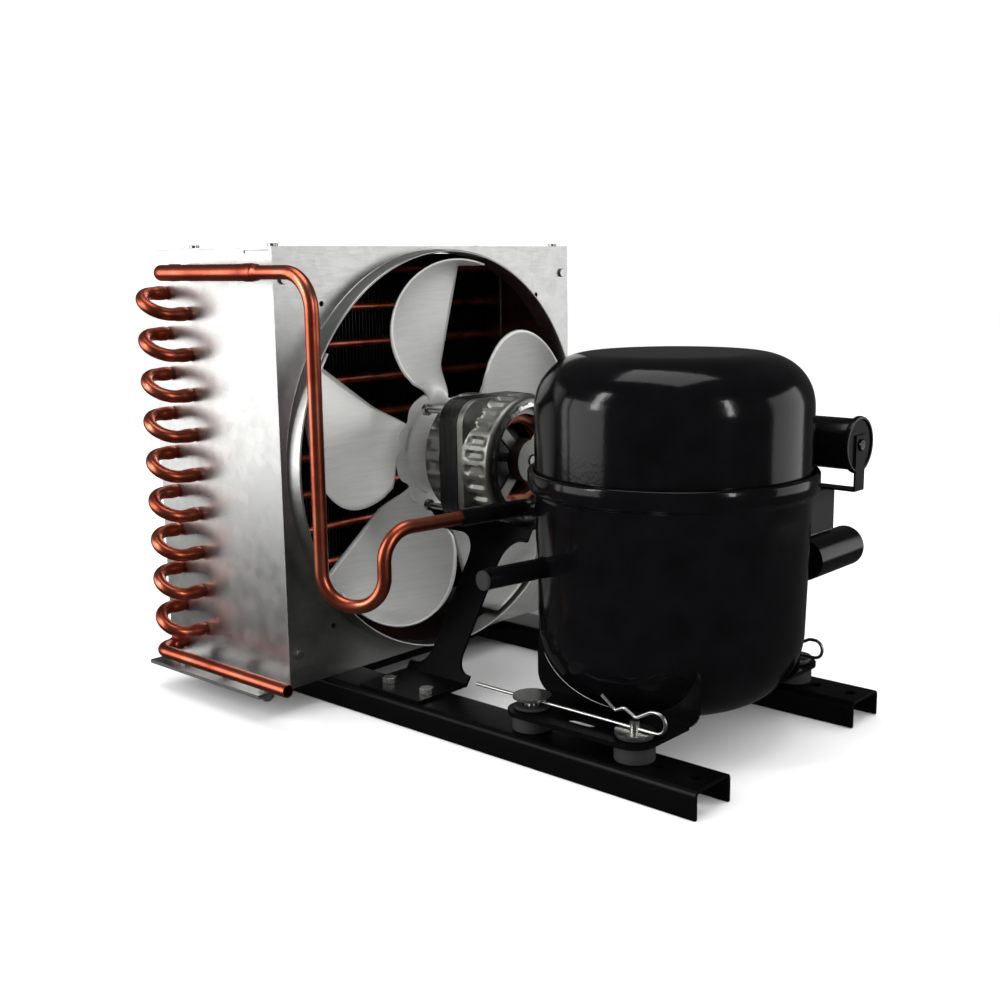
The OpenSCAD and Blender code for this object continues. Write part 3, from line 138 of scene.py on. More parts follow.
class FinishSettings(bpy.types.PropertyGroup):
    enamel: colour_property("Enamel", "Black stove enamel of shell, rails and brackets", "#050506")
    sheet_metal: colour_property("Galvanised sheet", "Zinc coated casing sheet", "#B6B6B4")
    copper: colour_property("Copper", "Drawn copper tube", "#C8664C")
    copper_dark: colour_property("Oxidised copper", "Darker patches on the copper", "#9A4532")
    blade: colour_property("Fan aluminium", "Rolled aluminium of the fan", "#E0E0DD")
    casting: colour_property("Cast aluminium", "Motor housings", "#9C9C97")
    fin: colour_property("Coated fins", "Black coated fins", "#08090A")
    floor: colour_property("Floor", "Pale studio floor", "#F4F4F4")


def settings():
    """The part's settings in the open scene."""
    return bpy.context.scene.condensing_unit


class UnitSettings(bpy.types.PropertyGroup):
    casing: PointerProperty(type=CasingSettings)
    coil: PointerProperty(type=CoilSettings)
    fan: PointerProperty(type=FanSettings)
    compressor: PointerProperty(type=CompressorSettings)
    finish: PointerProperty(type=FinishSettings)


# Surfaces

def grid(points, around=False, along=False):
    """Quads over a grid of points. around joins the last column to the first, along the last row to the first."""
    rows, cols = points.shape[:2]
    i, j = np.meshgrid(np.arange(rows - (not along)), np.arange(cols - (not around)), indexing="ij")
    after, beside = (i + 1) % rows, (j + 1) % cols
    faces = np.stack([i * cols + j, after * cols + j, after * cols + beside, i * cols + beside], -1)
    return points.reshape(-1, 3), faces.reshape(-1, 4)


def revolve(profile, centre, axis="z", steps=96, ripple=None):
    """Each profile pair (radius, height) goes round the x or z axis: radius times (cosine, sine), height along it.
    ripple changes the radius by angle and height, to give ribs or slots."""
    profile = np.asarray(profile, float)
    angle = np.linspace(0, 2 * np.pi, steps, endpoint=False)
    radius = np.repeat(profile[:, :1], steps, 1)
    if ripple is not None:
        radius = ripple(radius, angle[None, :], profile[:, 1:2])
    height = np.repeat(profile[:, 1:], steps, 1)
    across, up = radius * np.cos(angle), radius * np.sin(angle)
    order = (across, up, height) if axis == "z" else (height, across, up)
    return grid(np.stack(order, -1) + np.asarray(centre, float), around=True)


def arc(centre, radius, start, end, steps=14):
    """Points of a circle about centre from one angle to another, in degrees, as (x, y) pairs."""
    a = np.radians(np.linspace(start, end, steps))
    return np.stack([centre[0] + radius * np.cos(a), centre[1] + radius * np.sin(a)], -1)


def moved(points, radius, height):
    """Profile pairs (r, h) that are given from a place of their own: (radius + r, height + h)."""
    return np.array(points, float) + (radius, height)


def rounded_route(points, radii, steps=14):
    """A line through points whose corners are arcs: at a corner, centre + radius * (out cos a + way sin a)."""
    points = np.asarray(points, float)
    line = [points[:1]]
    for before, corner, after, radius in zip(points, points[1:], points[2:], radii):
        way = (corner - before) / np.linalg.norm(corner - before)
        onward = (after - corner) / np.linalg.norm(after - corner)
        angle = math.acos(np.clip(way @ onward, -1, 1))
        side = onward - (onward @ way) * way
        side /= np.linalg.norm(side)
        start = corner - way * radius * math.tan(angle / 2)
        a = np.linspace(0, angle, steps)[:, None]
        line.append(start + side * radius * (1 - np.cos(a)) + way * radius * np.sin(a))
    line.append(points[-1:])
    return np.concatenate(line)


def resample(line, spacing):
    """The same line with points at equal spacing, by linear steps along its length."""
    run = np.concatenate([[0], np.cumsum(np.linalg.norm(np.diff(line, axis=0), axis=1))])
    at = np.linspace(0, run[-1], max(3, int(run[-1] / spacing)))
    return np.stack([np.interp(at, run, line[:, k]) for k in range(3)], -1), at


def sweep(line, radius, sides=20, guide=(0.31, -0.83, 0.47), closed_ends=True):
    """A round bar: at each point of the line a circle square to it, of that point's radius. The circle's
    first direction is the guide less its part along the line, so it never spins."""
    line = np.asarray(line, float)
    radius = np.broadcast_to(np.asarray(radius, float), len(line))[:, None, None]
    way = np.gradient(line, axis=0)
    way /= np.linalg.norm(way, axis=1, keepdims=True)
    guide = np.asarray(guide, float)
    first = guide - (way @ guide)[:, None] * way
    first /= np.linalg.norm(first, axis=1, keepdims=True)
    second = np.cross(way, first)
    angle = np.linspace(0, 2 * np.pi, sides, endpoint=False)[None, :, None]
    rings = line[:, None] + radius * (first[:, None] * np.cos(angle) + second[:, None] * np.sin(angle))
    if closed_ends:
        rings = np.concatenate([np.repeat(line[:1, None], sides, 1), rings, np.repeat(line[-1:, None], sides, 1)])
    return grid(rings, around=True)


def tube(line, radius, wall, sides=20):
    """A pipe with open ends: the sweep's outer skin, back along an inner skin that is the wall narrower."""
    line = np.asarray(line, float)
    radius = np.broadcast_to(np.asarray(radius, float), len(line))
    outer = sweep(line, radius, sides, closed_ends=False)[0].reshape(len(line), sides, 3)
    inner = sweep(line, radius - wall, sides, closed_ends=False)[0].reshape(len(line), sides, 3)[::-1]
    return grid(np.concatenate([outer, inner]), around=True, along=True)


def slabs(low, high):
    """Boxes from arrays of lowest and highest corners, six quads each."""
    low, high = np.atleast_2d(low).astype(float), np.atleast_2d(high).astype(float)
    pick = np.array([[0, 0, 0], [1, 0, 0], [1, 1, 0], [0, 1, 0], [0, 0, 1], [1, 0, 1], [1, 1, 1], [0, 1, 1]])
    points = low[:, None] + pick * (high - low)[:, None]
    quads = np.array([[0, 3, 2, 1], [4, 5, 6, 7], [0, 1, 5, 4], [1, 2, 6, 5], [2, 3, 7, 6], [3, 0, 4, 7]])
    faces = quads + 8 * np.arange(len(low))[:, None, None]
    return points.reshape(-1, 3), faces.reshape(-1, 4)


def joined(parts):
    """Several surfaces as one list of points and quads."""
    starts = np.cumsum([0] + [len(p) for p, _ in parts[:-1]])
    return np.concatenate([p for p, _ in parts]), np.concatenate([f + s for (_, f), s in zip(parts, starts)])


def mesh_piece(name, parts, finish, stands_for=(), body="base", slot=None, bevel=0, smooth=35, weld=True):
    """Puts surfaces given in millimetres into one object in metres that rides on a body."""
    points, faces = joined(parts)
    mesh = bpy.data.meshes.new(name)
    mesh.vertices.add(len(points))
    mesh.vertices.foreach_set("co", (points * MM).astype(np.float32).ravel())
    mesh.loops.add(faces.size)
    mesh.loops.foreach_set("vertex_index", faces.astype(np.int32).ravel())
    mesh.polygons.add(len(faces))
    mesh.polygons.foreach_set("loop_start", np.arange(0, faces.size, 4, dtype=np.int32))
    mesh.update(calc_edges=True)
    mesh.validate()
    return finished(name, mesh, finish, stands_for, body, slot, bevel, smooth, weld)


def finished(name, mesh, finish, stands_for, body, slot, bevel, smooth, weld):
    """Welds a mesh, turns its faces outwards, smooths it below the given angle and makes it a riding object.
    The slot argument is not used: its value is worked out but never put on the piece."""
    if weld:
        work = bmesh.new()
        work.from_mesh(mesh)
        bmesh.ops.remove_doubles(work, verts=work.verts, dist=2e-6)
        bmesh.ops.dissolve_degenerate(work, edges=work.edges, dist=1e-7)
        bmesh.ops.recalc_face_normals(work, faces=work.faces)
        work.to_mesh(mesh)
        work.free()
    mesh.shade_smooth()
    mesh.set_sharp_from_angle(angle=math.radians(smooth))
    mesh.materials.append(library()[finish])
    slot = slot or FINISHES[finish][0]
    piece = bpy.data.objects.new(name, mesh)
    bpy.context.scene.collection.objects.link(piece)
    if bevel:
        rounding = piece.modifiers.new("Rounding", "BEVEL")
        rounding.width = bevel * MM
        rounding.segments = 2
        rounding.limit_method = "ANGLE"
        rounding.angle_limit = math.radians(40)
        rounding.harden_normals = True
    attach(piece, body)
    if stands_for:
        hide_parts(*stands_for)
    return piece


def dressed(node, finish, body="base", bevel=0.3, smooth=35):
    """A merged copy of a frame node with flat faces joined and edges rounded, standing for the node."""
    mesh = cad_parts[node].data.copy()
    mesh.materials.clear()
    work = bmesh.new()
    work.from_mesh(mesh)
    bmesh.ops.remove_doubles(work, verts=work.verts, dist=2e-6)
    bmesh.ops.dissolve_limit(work, angle_limit=math.radians(0.6), verts=work.verts, edges=work.edges)
    work.to_mesh(mesh)
    work.free()
    mesh.name = node + "_dressed"
    for name in [a.name for a in mesh.attributes if a.name == "custom_normal"]:
        mesh.attributes.remove(mesh.attributes[name])
    return finished(node + "_dressed", mesh, finish, (node,), body, None, bevel, smooth, weld=False)


# Materials

def add(tree, kind, where=None, **inputs):
    """Adds a node, sets or links its inputs by name (spaces as underscores), and returns it."""
    node = tree.nodes.new(kind)
    for key, value in (where or {}).items():
        setattr(node, key, value)
    for key, value in inputs.items():
        socket = node.inputs[int(key[1:])] if key[0] == "_" else node.inputs[key.replace("_", " ")]
        if isinstance(value, bpy.types.NodeSocket):
            tree.links.new(value, socket)
        else:
            socket.default_value = value
    return node


def surface(name, **inputs):
    """A new material: its tree, its shader, and the object coordinates of what it is on."""
    material = bpy.data.materials.new(name)
    material.use_nodes = True
    tree = material.node_tree
    shader = tree.nodes["Principled BSDF"]
    for key, value in inputs.items():
        shader.inputs[key.replace("_", " ")].default_value = value
    return material, tree, shader, add(tree, "ShaderNodeTexCoord").outputs["Object"]


def mottle(tree, place, size, stretch=(1, 1, 1), detail=4.0):
    """Soft random values from 0 to 1 over the object, in blotches about as many millimetres across as size."""
    moved = add(tree, "ShaderNodeMapping", Vector=place, Scale=stretch).outputs["Vector"]
    return add(tree, "ShaderNodeTexNoise", Vector=moved, Scale=1 / (size * MM), Detail=detail).outputs["Fac"]


def wave_scale(pitch):
    """The scale at which a wave texture repeats every pitch millimetres: 2 pi / (20 * pitch)."""
    return math.pi / (10 * pitch * MM)


def scaled(shade, share):
    """A colour made darker or lighter by a share, without its alpha."""
    return tuple(min(1, v * share) for v in tuple(shade)[:3])


def coat(tree, shader, pattern, stops, sheen=None, first=0, last=0, relief=None, strength=0, height=0):
    """Colours a surface by one pattern, takes its roughness from a first to a last value by another and raises it
    by a third, height millimetres at most. stops are (position, hex colour or linear colour) pairs."""
    band = add(tree, "ShaderNodeValToRGB", _0=pattern)
    ramp = band.color_ramp
    while len(ramp.elements) < len(stops):
        ramp.elements.new(0.5)
    for element, (position, shade) in zip(ramp.elements, stops):
        element.position = position
        element.color = linear(shade) if isinstance(shade, str) else tuple(shade)[:3] + (1.0,)
    tree.links.new(band.outputs["Color"], shader.inputs["Base Color"])
    if sheen:
        spread = add(tree, "ShaderNodeMapRange", Value=sheen, To_Min=first, To_Max=last)
        raised = add(tree, "ShaderNodeBump", Height=relief, Strength=strength, Distance=height * MM)
        tree.links.new(spread.outputs["Result"], shader.inputs["Roughness"])
        tree.links.new(raised.outputs["Normal"], shader.inputs["Normal"])


def stove_enamel(name, roughness=0.16, level=0.3, cloudy=1.9):
    """Sprayed and baked black enamel: deep black with a slightly wavy gloss, as on a compressor shell."""
    material, tree, shader, place = surface(name, Specular_IOR_Level=level)
    shade = settings().finish.enamel
    coat(tree, shader, mottle(tree, place, 16.67), [(0.3, shade), (0.75, scaled(shade, cloudy))],
         mottle(tree, place, 4.762, detail=2), roughness * 0.88, roughness * 1.15,
         mottle(tree, place, 2.381, detail=1), 0.05, 0.6)
    return material


def galvanised(name, grain=(1, 1, 1), roughness=0.3):
    """Zinc coated sheet: soft crystal patches a few millimetres wide and a satin, faintly drawn sheen."""
    material, tree, shader, place = surface(name, Metallic=1.0)
    shade, crystal = settings().finish.sheet_metal, 5.882
    crystals = add(tree, "ShaderNodeTexVoronoi", Vector=place, Scale=1 / (crystal * MM)).outputs["Color"]
    patch = add(tree, "ShaderNodeRGBToBW", Color=crystals).outputs["Val"]
    drawn = mottle(tree, place, 11.11, stretch=grain, detail=6)
    coat(tree, shader, patch, [(0.0, scaled(shade, 0.93)), (1.0, scaled(shade, 1.07))],
         drawn, roughness * 0.75, roughness * 1.3, drawn, 0.06, 0.4)
    return material


def drawn_copper(name, oxide_reach=0.5):
    """Drawn copper tube: orange metal with browner oxide blotches, pale painted highlight patches and fine marks,
    drawn coarser than real ones.
    """
    material, tree, shader, place = surface(name, Metallic=1.0)
    finish = settings().finish
    blotch = mottle(tree, place, 23.81, detail=7)
    # The dark stop is the copper's own oxide. The last, pale #DE9078 stop paints highlight patches where the pattern
    # is high. The third argument sets where plain copper sits between them.
    coat(tree, shader, blotch, [(0.30, finish.copper_dark), (0.30 + 0.28 * oxide_reach, finish.copper), (0.85, "#DE9078")],
         blotch, 0.42, 0.26, mottle(tree, place, 1.111, detail=2), 0.05, 0.3)
    return material


def rolled_aluminium(name):
    """Mill finish aluminium of the fan: pale satin grey with faint rolling marks along the sheet."""
    material, tree, shader, place = surface(name, Metallic=0.55)
    shade = settings().finish.blade
    marks = mottle(tree, place, 25, stretch=(1, 1, 14), detail=5)
    coat(tree, shader, marks, [(0.25, scaled(shade, 0.86)), (0.8, shade)], marks, 0.34, 0.48, marks, 0.04, 0.3)
    return material


def die_cast(name, shade=None, roughness=0.42):
    """Die cast aluminium: grainy grey metal, a little darker in its cloudy patches."""
    material, tree, shader, place = surface(name, Metallic=1.0)
    tone = linear(shade) if shade else settings().finish.casting
    grain = mottle(tree, place, 0.7143, detail=3)
    coat(tree, shader, mottle(tree, place, 14.29), [(0.3, scaled(tone, 0.72)), (0.72, tone)],
         grain, roughness * 0.8, roughness * 1.25, grain, 0.22, 0.3)
    return material


def bright_steel(name, shade="#B9B9B6", roughness=0.28):
    """Zinc plated or turned steel: bright grey with a light cloudy passivation and the finest turning marks."""
    material, tree, shader, place = surface(name, Metallic=1.0)
    cloud, tone = mottle(tree, place, 3.846), linear(shade)
    coat(tree, shader, cloud, [(0.3, scaled(tone, 0.8)), (0.7, tone)], cloud, roughness * 1.3, roughness * 0.8,
         mottle(tree, place, 0.625, detail=2), 0.05, 0.2)
    return material


def moulded(name, shade, roughness=0.42, grain=1.111, level=0.35):
    """Moulded black plastic or rubber: matt, with a moulded grain, coarser than real, that breaks up its sheen."""
    material, tree, shader, place = surface(name, Specular_IOR_Level=level)
    fine, tone = mottle(tree, place, grain, detail=3), linear(shade)
    coat(tree, shader, mottle(tree, place, 11.11), [(0.3, tone), (0.8, scaled(tone, 1.7))],
         fine, roughness * 0.85, roughness * 1.2, fine, 0.12, 0.3)
    return material


def coated_fins(name):
    """Epoxy coated fins: near black and satin, a little dusty."""
    material, tree, shader, place = surface(name, Specular_IOR_Level=0.3)
    shade = settings().finish.fin
    dust = mottle(tree, place, 8.333, stretch=(1, 1, 0.3))
    coat(tree, shader, dust, [(0.35, shade), (0.8, scaled(shade, 2.6))], dust, 0.34, 0.5,
         mottle(tree, place, 1.429), 0.08, 0.3)
    return material


def stacked_laminations(name, light="#1B1B1C", dark="#040404"):
    """Varnished steel laminations: dark and less dark lines across the stack, twice as coarse as the real ones."""
    material, tree, shader, place = surface(name, Specular_IOR_Level=0.4)
    lines = add(tree, "ShaderNodeTexWave", {"bands_direction": "X"}, Vector=place, Scale=wave_scale(1.0134),
                Distortion=0.3).outputs["Fac"]
    coat(tree, shader, lines, [(0.2, dark), (0.8, light)], mottle(tree, place, 6.25), 0.28, 0.45, lines, 0.35, 0.3)
    return material


def wound_wire(name, centre):
    """Enamelled copper wire, 0.75 mm thick, wound round a core: turns painted with a pale highlight on their crests
    and painted shade in the gaps between them.
    """
    material, tree, shader, place = surface(name, Metallic=0.75)
    about = add(tree, "ShaderNodeMapping", {"vector_type": "POINT"}, Vector=place,
                Location=tuple(-v for v in centre)).outputs["Vector"]
    turns = add(tree, "ShaderNodeTexWave", {"wave_type": "RINGS", "rings_direction": "X"}, Vector=about,
                Scale=wave_scale(0.748), Distortion=0.6, Detail=1.0).outputs["Fac"]
    # The dark #5E2414 stop is painted shade in the gaps between turns. The pale #E0A088 stop is a painted highlight on
    # their crests.
    coat(tree, shader, turns, [(0.1, "#5E2414"), (0.6, "#B4603C"), (1.0, "#E0A088")],
         turns, 0.42, 0.24, turns, 0.5, 0.4)
    return material


def studio_floor(name):
    """Pale seamless paper: almost even, with the faintest change of tone."""
    material, tree, shader, place = surface(name, Roughness=0.9, Specular_IOR_Level=0.1)
    shade = settings().finish.floor
    coat(tree, shader, mottle(tree, place, 833.3, detail=2), [(0.2, scaled(shade, 0.99)), (0.8, shade)])
    return material


def library():
    """Every finish by the name of what it stands for, made once."""
    if "shell_enamel" not in bpy.data.materials:
        stove_enamel("shell_enamel", 0.13, 0.2)
        stove_enamel("rail_enamel", 0.3, 0.07, 1.15)
        galvanised("casing_zinc")
        galvanised("face_zinc", grain=(1, 1, 9), roughness=0.34)
        drawn_copper("tube_copper", 0.7)
        drawn_copper("line_copper", 0.9)
        rolled_aluminium("fan_sheet")
        die_cast("motor_casting")
        die_cast("hub_casting", "#8C8C88", 0.5)
        die_cast("grey_iron", "#4A4A4A", 0.6)
        bright_steel("zinc_plating")
        bright_steel("turned_steel", "#9E9E9A", 0.24)
        bright_steel("machined_ring", "#D6D6D4", 0.2)
        moulded("grommet_rubber", "#020202", 0.85, level=0.0)
        moulded("black_plastic", "#050506", 0.3, level=0.2)
        moulded("strap_paint", "#030404", 0.35, level=0.06)
        moulded("capacitor_case", "#040405", 0.2, grain=3.333, level=0.2)
        coated_fins("black_fins")
        stacked_laminations("motor_laminations")
        stacked_laminations("rotor_laminations", "#55565A", "#2A2B2D")
        wound_wire("motor_wire", (FACE_X * MM + 0.05, 0, AXIS_Z * MM))
        wound_wire("stator_wire", (COMP_X * MM, COMP_Y * MM, 0.1))
        studio_floor("studio_floor")
    return bpy.data.materials


# The slot of each finish, where a piece of its own has it, and the frame nodes that it is on
FINISHES = {
    "rail_enamel": ("black_enamel", "rail_near rail_far cross_braces motor_bracket mount_foot_near mount_foot_far"),
    "shell_enamel": ("black_enamel", "compressor_lower_shell compressor_upper_shell discharge_stub suction_stub"),
    "casing_zinc": ("galvanised_sheet", "casing_floor side_panel_near side_panel_far top_panel "
                                        "tube_sheet_near tube_sheet_far"),
    "face_zinc": ("galvanised_sheet", "front_panel"),
    "tube_copper": ("copper_tube", "coil_tubes return_bends_near return_bends_far"),
    "line_copper": ("copper_tube", "inlet_pipe hot_gas_line outlet_pipe"),
    "fan_sheet": ("fan_aluminium", "fan_blades"),
    "hub_casting": ("cast_aluminium", "fan_hub"),
    "motor_casting": ("cast_aluminium", "motor_front_housing motor_rear_housing motor_end_cap"),
    "machined_ring": ("cast_aluminium", ""),
    "zinc_plating": ("zinc_steel", "fan_nut motor_bolts bracket_screws casing_screws flange_screws mount_pins "
                                   "retaining_clips suspension_springs"),
    "turned_steel": ("turned_steel", "motor_shaft motor_bearings crankshaft connecting_rod piston terminal_pins"),
    "grommet_rubber": ("grommet_rubber", "grommets suction_plug"),
    "black_plastic": ("black_plastic", "terminal_cover"),
    "capacitor_case": ("black_plastic", "start_capacitor run_capacitor"),
    "strap_paint": ("black_strap", "capacitor_strap"),
    "black_fins": ("black_fins", "fin_pack"),
    "motor_laminations": ("black_laminations", "motor_core"),
    "rotor_laminations": (None, "motor_rotor compressor_stator compressor_rotor"),
    "motor_wire": ("copper_winding", "motor_windings"),
    "stator_wire": (None, "stator_windings"),
    "grey_iron": (None, "crankcase cylinder_head"),
}


# Pieces

class UNIT_OT_finishes(bpy.types.Operator):
    """Gives every frame node its finish"""
    bl_idname = "condensing_unit.finishes"
    bl_label = "Finishes"

    def execute(self, context):
        for finish, (_, names) in FINISHES.items():
            for name in names.split():
                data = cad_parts[name].data
                data.materials.clear()
                data.materials.append(library()[finish])
        return {"FINISHED"}


class UNIT_OT_sheet_metal(bpy.types.Operator):
    """Rounds the edges of the rails, braces, brackets and casing sheets"""
    bl_idname = "condensing_unit.sheet_metal"
    bl_label = "Sheet metal"

    def execute(self, context):
        rails = FINISHES["rail_enamel"][1].split()
        for name in rails + ["casing_floor", "side_panel_near", "side_panel_far", "top_panel"]:
            dressed(name, "rail_enamel" if name in rails else "casing_zinc", bevel=settings().casing.edge / MM)
        return {"FINISHED"}


class UNIT_OT_face(bpy.types.Operator):
    """Builds the face of the casing with the rolled ring round the fan opening"""
    bl_idname = "condensing_unit.face"
    bl_label = "Face and ring"

    def execute(self, context):
        casing = settings().casing
        radius, depth = casing.opening_radius / MM, casing.ring_depth / MM
        wall, sheet = casing.ring_wall / MM, casing.sheet / MM
        plate = dressed("front_panel", "face_zinc", bevel=0)
        work = bmesh.new()
        work.from_mesh(plate.data)
        clear_r, clear_x = radius + wall + 0.2, FACE_X - sheet - 1
        near = [f for f in work.faces if all(math.hypot(v.co.y, v.co.z - AXIS_Z * MM) < clear_r * MM
                                             and v.co.x > clear_x * MM for v in f.verts)]
        bmesh.ops.delete(work, geom=near, context="FACES")
        work.to_mesh(plate.data)
        work.free()
        lip = wall / 2
        root, front = FACE_X - sheet, FACE_X + depth
        foot_r, edge, sunk = 2.2, 0.4, 0.3
        foot = radius + wall + foot_r
        profile = np.concatenate([
            [[radius, root]],
            arc((radius + lip, front - lip), lip, 180, 0, 12),
            arc((foot, FACE_X + foot_r), foot_r, 180, 270, 10),
            [[foot + edge, FACE_X + 0.02], [foot + edge, FACE_X - sunk],
             [radius + lip, FACE_X - sunk], [radius + lip, root], [radius, root]]])
        mesh_piece("opening_ring", [revolve(profile, (0, 0, AXIS_Z), "x", 192)], "face_zinc", smooth=50)
        return {"FINISHED"}


class UNIT_OT_coil(bpy.types.Operator):
    """Builds the fins, the tubes and the return bends of the coil"""
    bl_idname = "condensing_unit.coil"
    bl_label = "Coil"

    def execute(self, context):
        coil = settings().coil
        radius, swell, socket = coil.tube_radius / MM, coil.socket_swell / MM, 8.6
        places = np.linspace(fin_low[1] + 1, fin_high[1] - 1, coil.fin_count)
        half = coil.fin_sheet / MM / 2
        low = np.stack([np.full_like(places, fin_low[0]), places - half, np.full_like(places, fin_low[2])], -1)
        high = np.stack([np.full_like(places, FRONT_ROW_X + radius - 0.6), places + half,
                         np.full_like(places, fin_high[2])], -1)
        mesh_piece("fins", [slabs(low, high)], "black_fins", ["fin_pack"], weld=False)

        straight = [tube([[x, y, z] for y in np.linspace(-TUBE_END_Y, TUBE_END_Y, 5)], radius, 0.6, 24)
                    for i in range(10) for x, z in ((REAR_ROW_X, LOW_TUBE_Z + TUBE_STEP * i),
                                                    (FRONT_ROW_X, LOW_TUBE_Z + TUBE_STEP * (i + 0.5)))]
        mesh_piece("tubes", straight, "tube_copper", ["coil_tubes"])

        for side, name, lower in ((-1, "return_bends_near", range(9)), (1, "return_bends_far", range(10))):
            bends = []
            for i in lower:
                rear = LOW_TUBE_Z + TUBE_STEP * (i + (side < 0))
                front = LOW_TUBE_Z + TUBE_STEP * (i + 0.5)
                start = np.array([REAR_ROW_X, side * TUBE_END_Y, rear])
                end = np.array([FRONT_ROW_X, side * TUBE_END_Y, front])
                middle, reach = (start + end) / 2, np.linalg.norm(end - start) / 2
                way = (start - middle) / reach
                a = np.linspace(0, np.pi, 25)[:, None]
                turn = middle + reach * (way * np.cos(a) + np.array([0, side, 0]) * np.sin(a))
                inward = np.array([1, 0.94, 0.5, 0.12])[:, None] * np.array([0, -side * socket, 0])
                line = np.concatenate([start + inward, turn, (end + inward)[::-1]])
                belled = np.array([0.6, 1, 1, 0.25]) * swell
                wide = radius + np.concatenate([belled, np.zeros(len(turn)), belled[::-1]])
                bends.append(sweep(line, wide, 24, guide=(0.3, 0.1, 1.0) if abs(way[2]) < 0.9 else (1, 0.1, 0.2)))
            mesh_piece(name + "_drawn", bends, "tube_copper", [name], smooth=60)
        return {"FINISHED"}


class UNIT_OT_pipes(bpy.types.Operator):
    """Builds the inlet pipe, the hot gas line and the outlet pipe"""
    bl_idname = "condensing_unit.pipes"
    bl_label = "Pipes"

    def execute(self, context):
        radius = settings().coil.tube_radius / MM
        top = LOW_TUBE_Z + TUBE_STEP * 9.5
        start = -TUBE_END_Y + 6
        bell = 7

        # The inlet pipe is wider than the hot gas line that is soldered into it, and has a collar there
        inlet_r, inlet_y, collar = 4.85, -157.5, 0.35
        route = [[FRONT_ROW_X, start, top], [FRONT_ROW_X, inlet_y, top], [FACE_X + 12.5, inlet_y, top]]
        line, run = resample(rounded_route(route, [10.5]), 1.2)
        swell = inlet_r + collar * np.exp(-((run - run[-1] + 5) / 4.5) ** 4)
        inlet = tube(line, np.where(run < bell, inlet_r + 0.5, swell), 0.7, 28)

        # The hot gas line drops, runs in and climbs to the discharge stub, with a ring of solder near its start
        down_x, up_x, up_y, low_z = FACE_X + 60, FACE_X + 95, inlet_y + 15, 84
        route = [[FACE_X + 4, inlet_y, top], [down_x, inlet_y, top], [down_x, inlet_y, low_z], [up_x, up_y, low_z],
                 [up_x, up_y, DISCHARGE_Z], [FACE_X + 104.2, -82, DISCHARGE_Z]]
        line, run = resample(rounded_route(route, [21, 18.5, 18.5, 18]), 1.5)
        braze = np.exp(-((run - 9.6) / 1.6) ** 2)
        gas = tube(line, radius + braze, 0.6, 28)

        outlet_y, outlet_x = -158.7, corners("outlet_pipe")[1][0]
        route = [[REAR_ROW_X, start, LOW_TUBE_Z], [REAR_ROW_X, outlet_y, LOW_TUBE_Z], [outlet_x, outlet_y, LOW_TUBE_Z]]
        line, run = resample(rounded_route(route, [12.2]), 1.2)
        outlet = tube(line, radius + np.where(run < bell, 0.6, 0.0), 0.6, 28)

        for name, pipe in (("inlet_pipe", inlet), ("hot_gas_line", gas), ("outlet_pipe", outlet)):
            mesh_piece(name + "_drawn", [pipe], "line_copper", [name], smooth=60)
        return {"FINISHED"}


class UNIT_OT_fan(bpy.types.Operator):
    """Builds the five pressed blades and the spider of the fan"""
    bl_idname = "condensing_unit.fan"
    bl_label = "Fan"

    def execute(self, context):
        fan = settings().fan
        tip, camber, sheet = fan.tip_radius / MM, fan.camber / MM, fan.sheet / MM
        spread = math.degrees(fan.sweep)
        root, neck, lead, depth, fullness = 30, 68, -16, 24.8, 2.3
        r = root + (tip - root) * np.sin(np.linspace(0, np.pi / 2, 44))
        share = np.clip((r - neck) / (tip - neck), 0, 1)
        outer = spread * np.maximum(1 - share ** fullness, 0) ** (1 / fullness)
        inner = np.interp(r, [root, 36, 42, 50, 57, neck], [30, 30, 36, 46, 52, spread])
        u = np.linspace(0, 1, 25)
        angle = np.radians(lead + np.where(r < neck, inner, outer)[:, None] * u)
        flat_r, blend = 34, 26
        fade = np.clip((r - flat_r) / blend, 0, 1)
        fade = (fade * fade * (3 - 2 * fade))[:, None]
        # Across a blade u runs from 0 to 1: x = fan + fade * (depth * (u - 1/2) - camber * sin(pi u))
        x = FAN_X + fade * (-depth / 2 + depth * u) - camber * np.sin(np.pi * u) * fade
        blades = []
        for k in range(5):
            a = angle + math.radians(90 + 72 * k)
            blades.append(grid(np.stack([x, r[:, None] * np.cos(a), AXIS_Z + r[:, None] * np.sin(a)], -1)))
        piece = mesh_piece("fan_blades_pressed", blades, "fan_sheet", ["fan_blades"], "fan", smooth=60)
        wall = piece.modifiers.new("Sheet", "SOLIDIFY")
        wall.thickness = sheet * MM
        wall.offset = 0
        disc = [[11.2, -0.7], [24, -0.7], [26, -1.7], [30, -1.7], [32, -0.7], [39.5, -0.7], [40, 0], [39.5, 0.7],
                [32, 0.7], [30, -0.3], [26, -0.3], [24, 0.7], [11.2, 0.7], [11.2, -0.7]]

        def notched(radius, a, height):
            cut = 4.5 * np.exp(-(((np.degrees(a) - 90 + 36 + 18) % 72 - 36) / 9) ** 2)
            return radius - cut * np.clip((radius - 32) / 8, 0, 1)

        disc = revolve(disc, (FAN_X, 0, AXIS_Z), "x", 160, notched)
        mesh_piece("fan_spider", [disc], "fan_sheet", body="fan", smooth=40)
        dressed("fan_hub", "hub_casting", "fan")
        dressed("fan_nut", "zinc_plating", "fan")
        return {"FINISHED"}


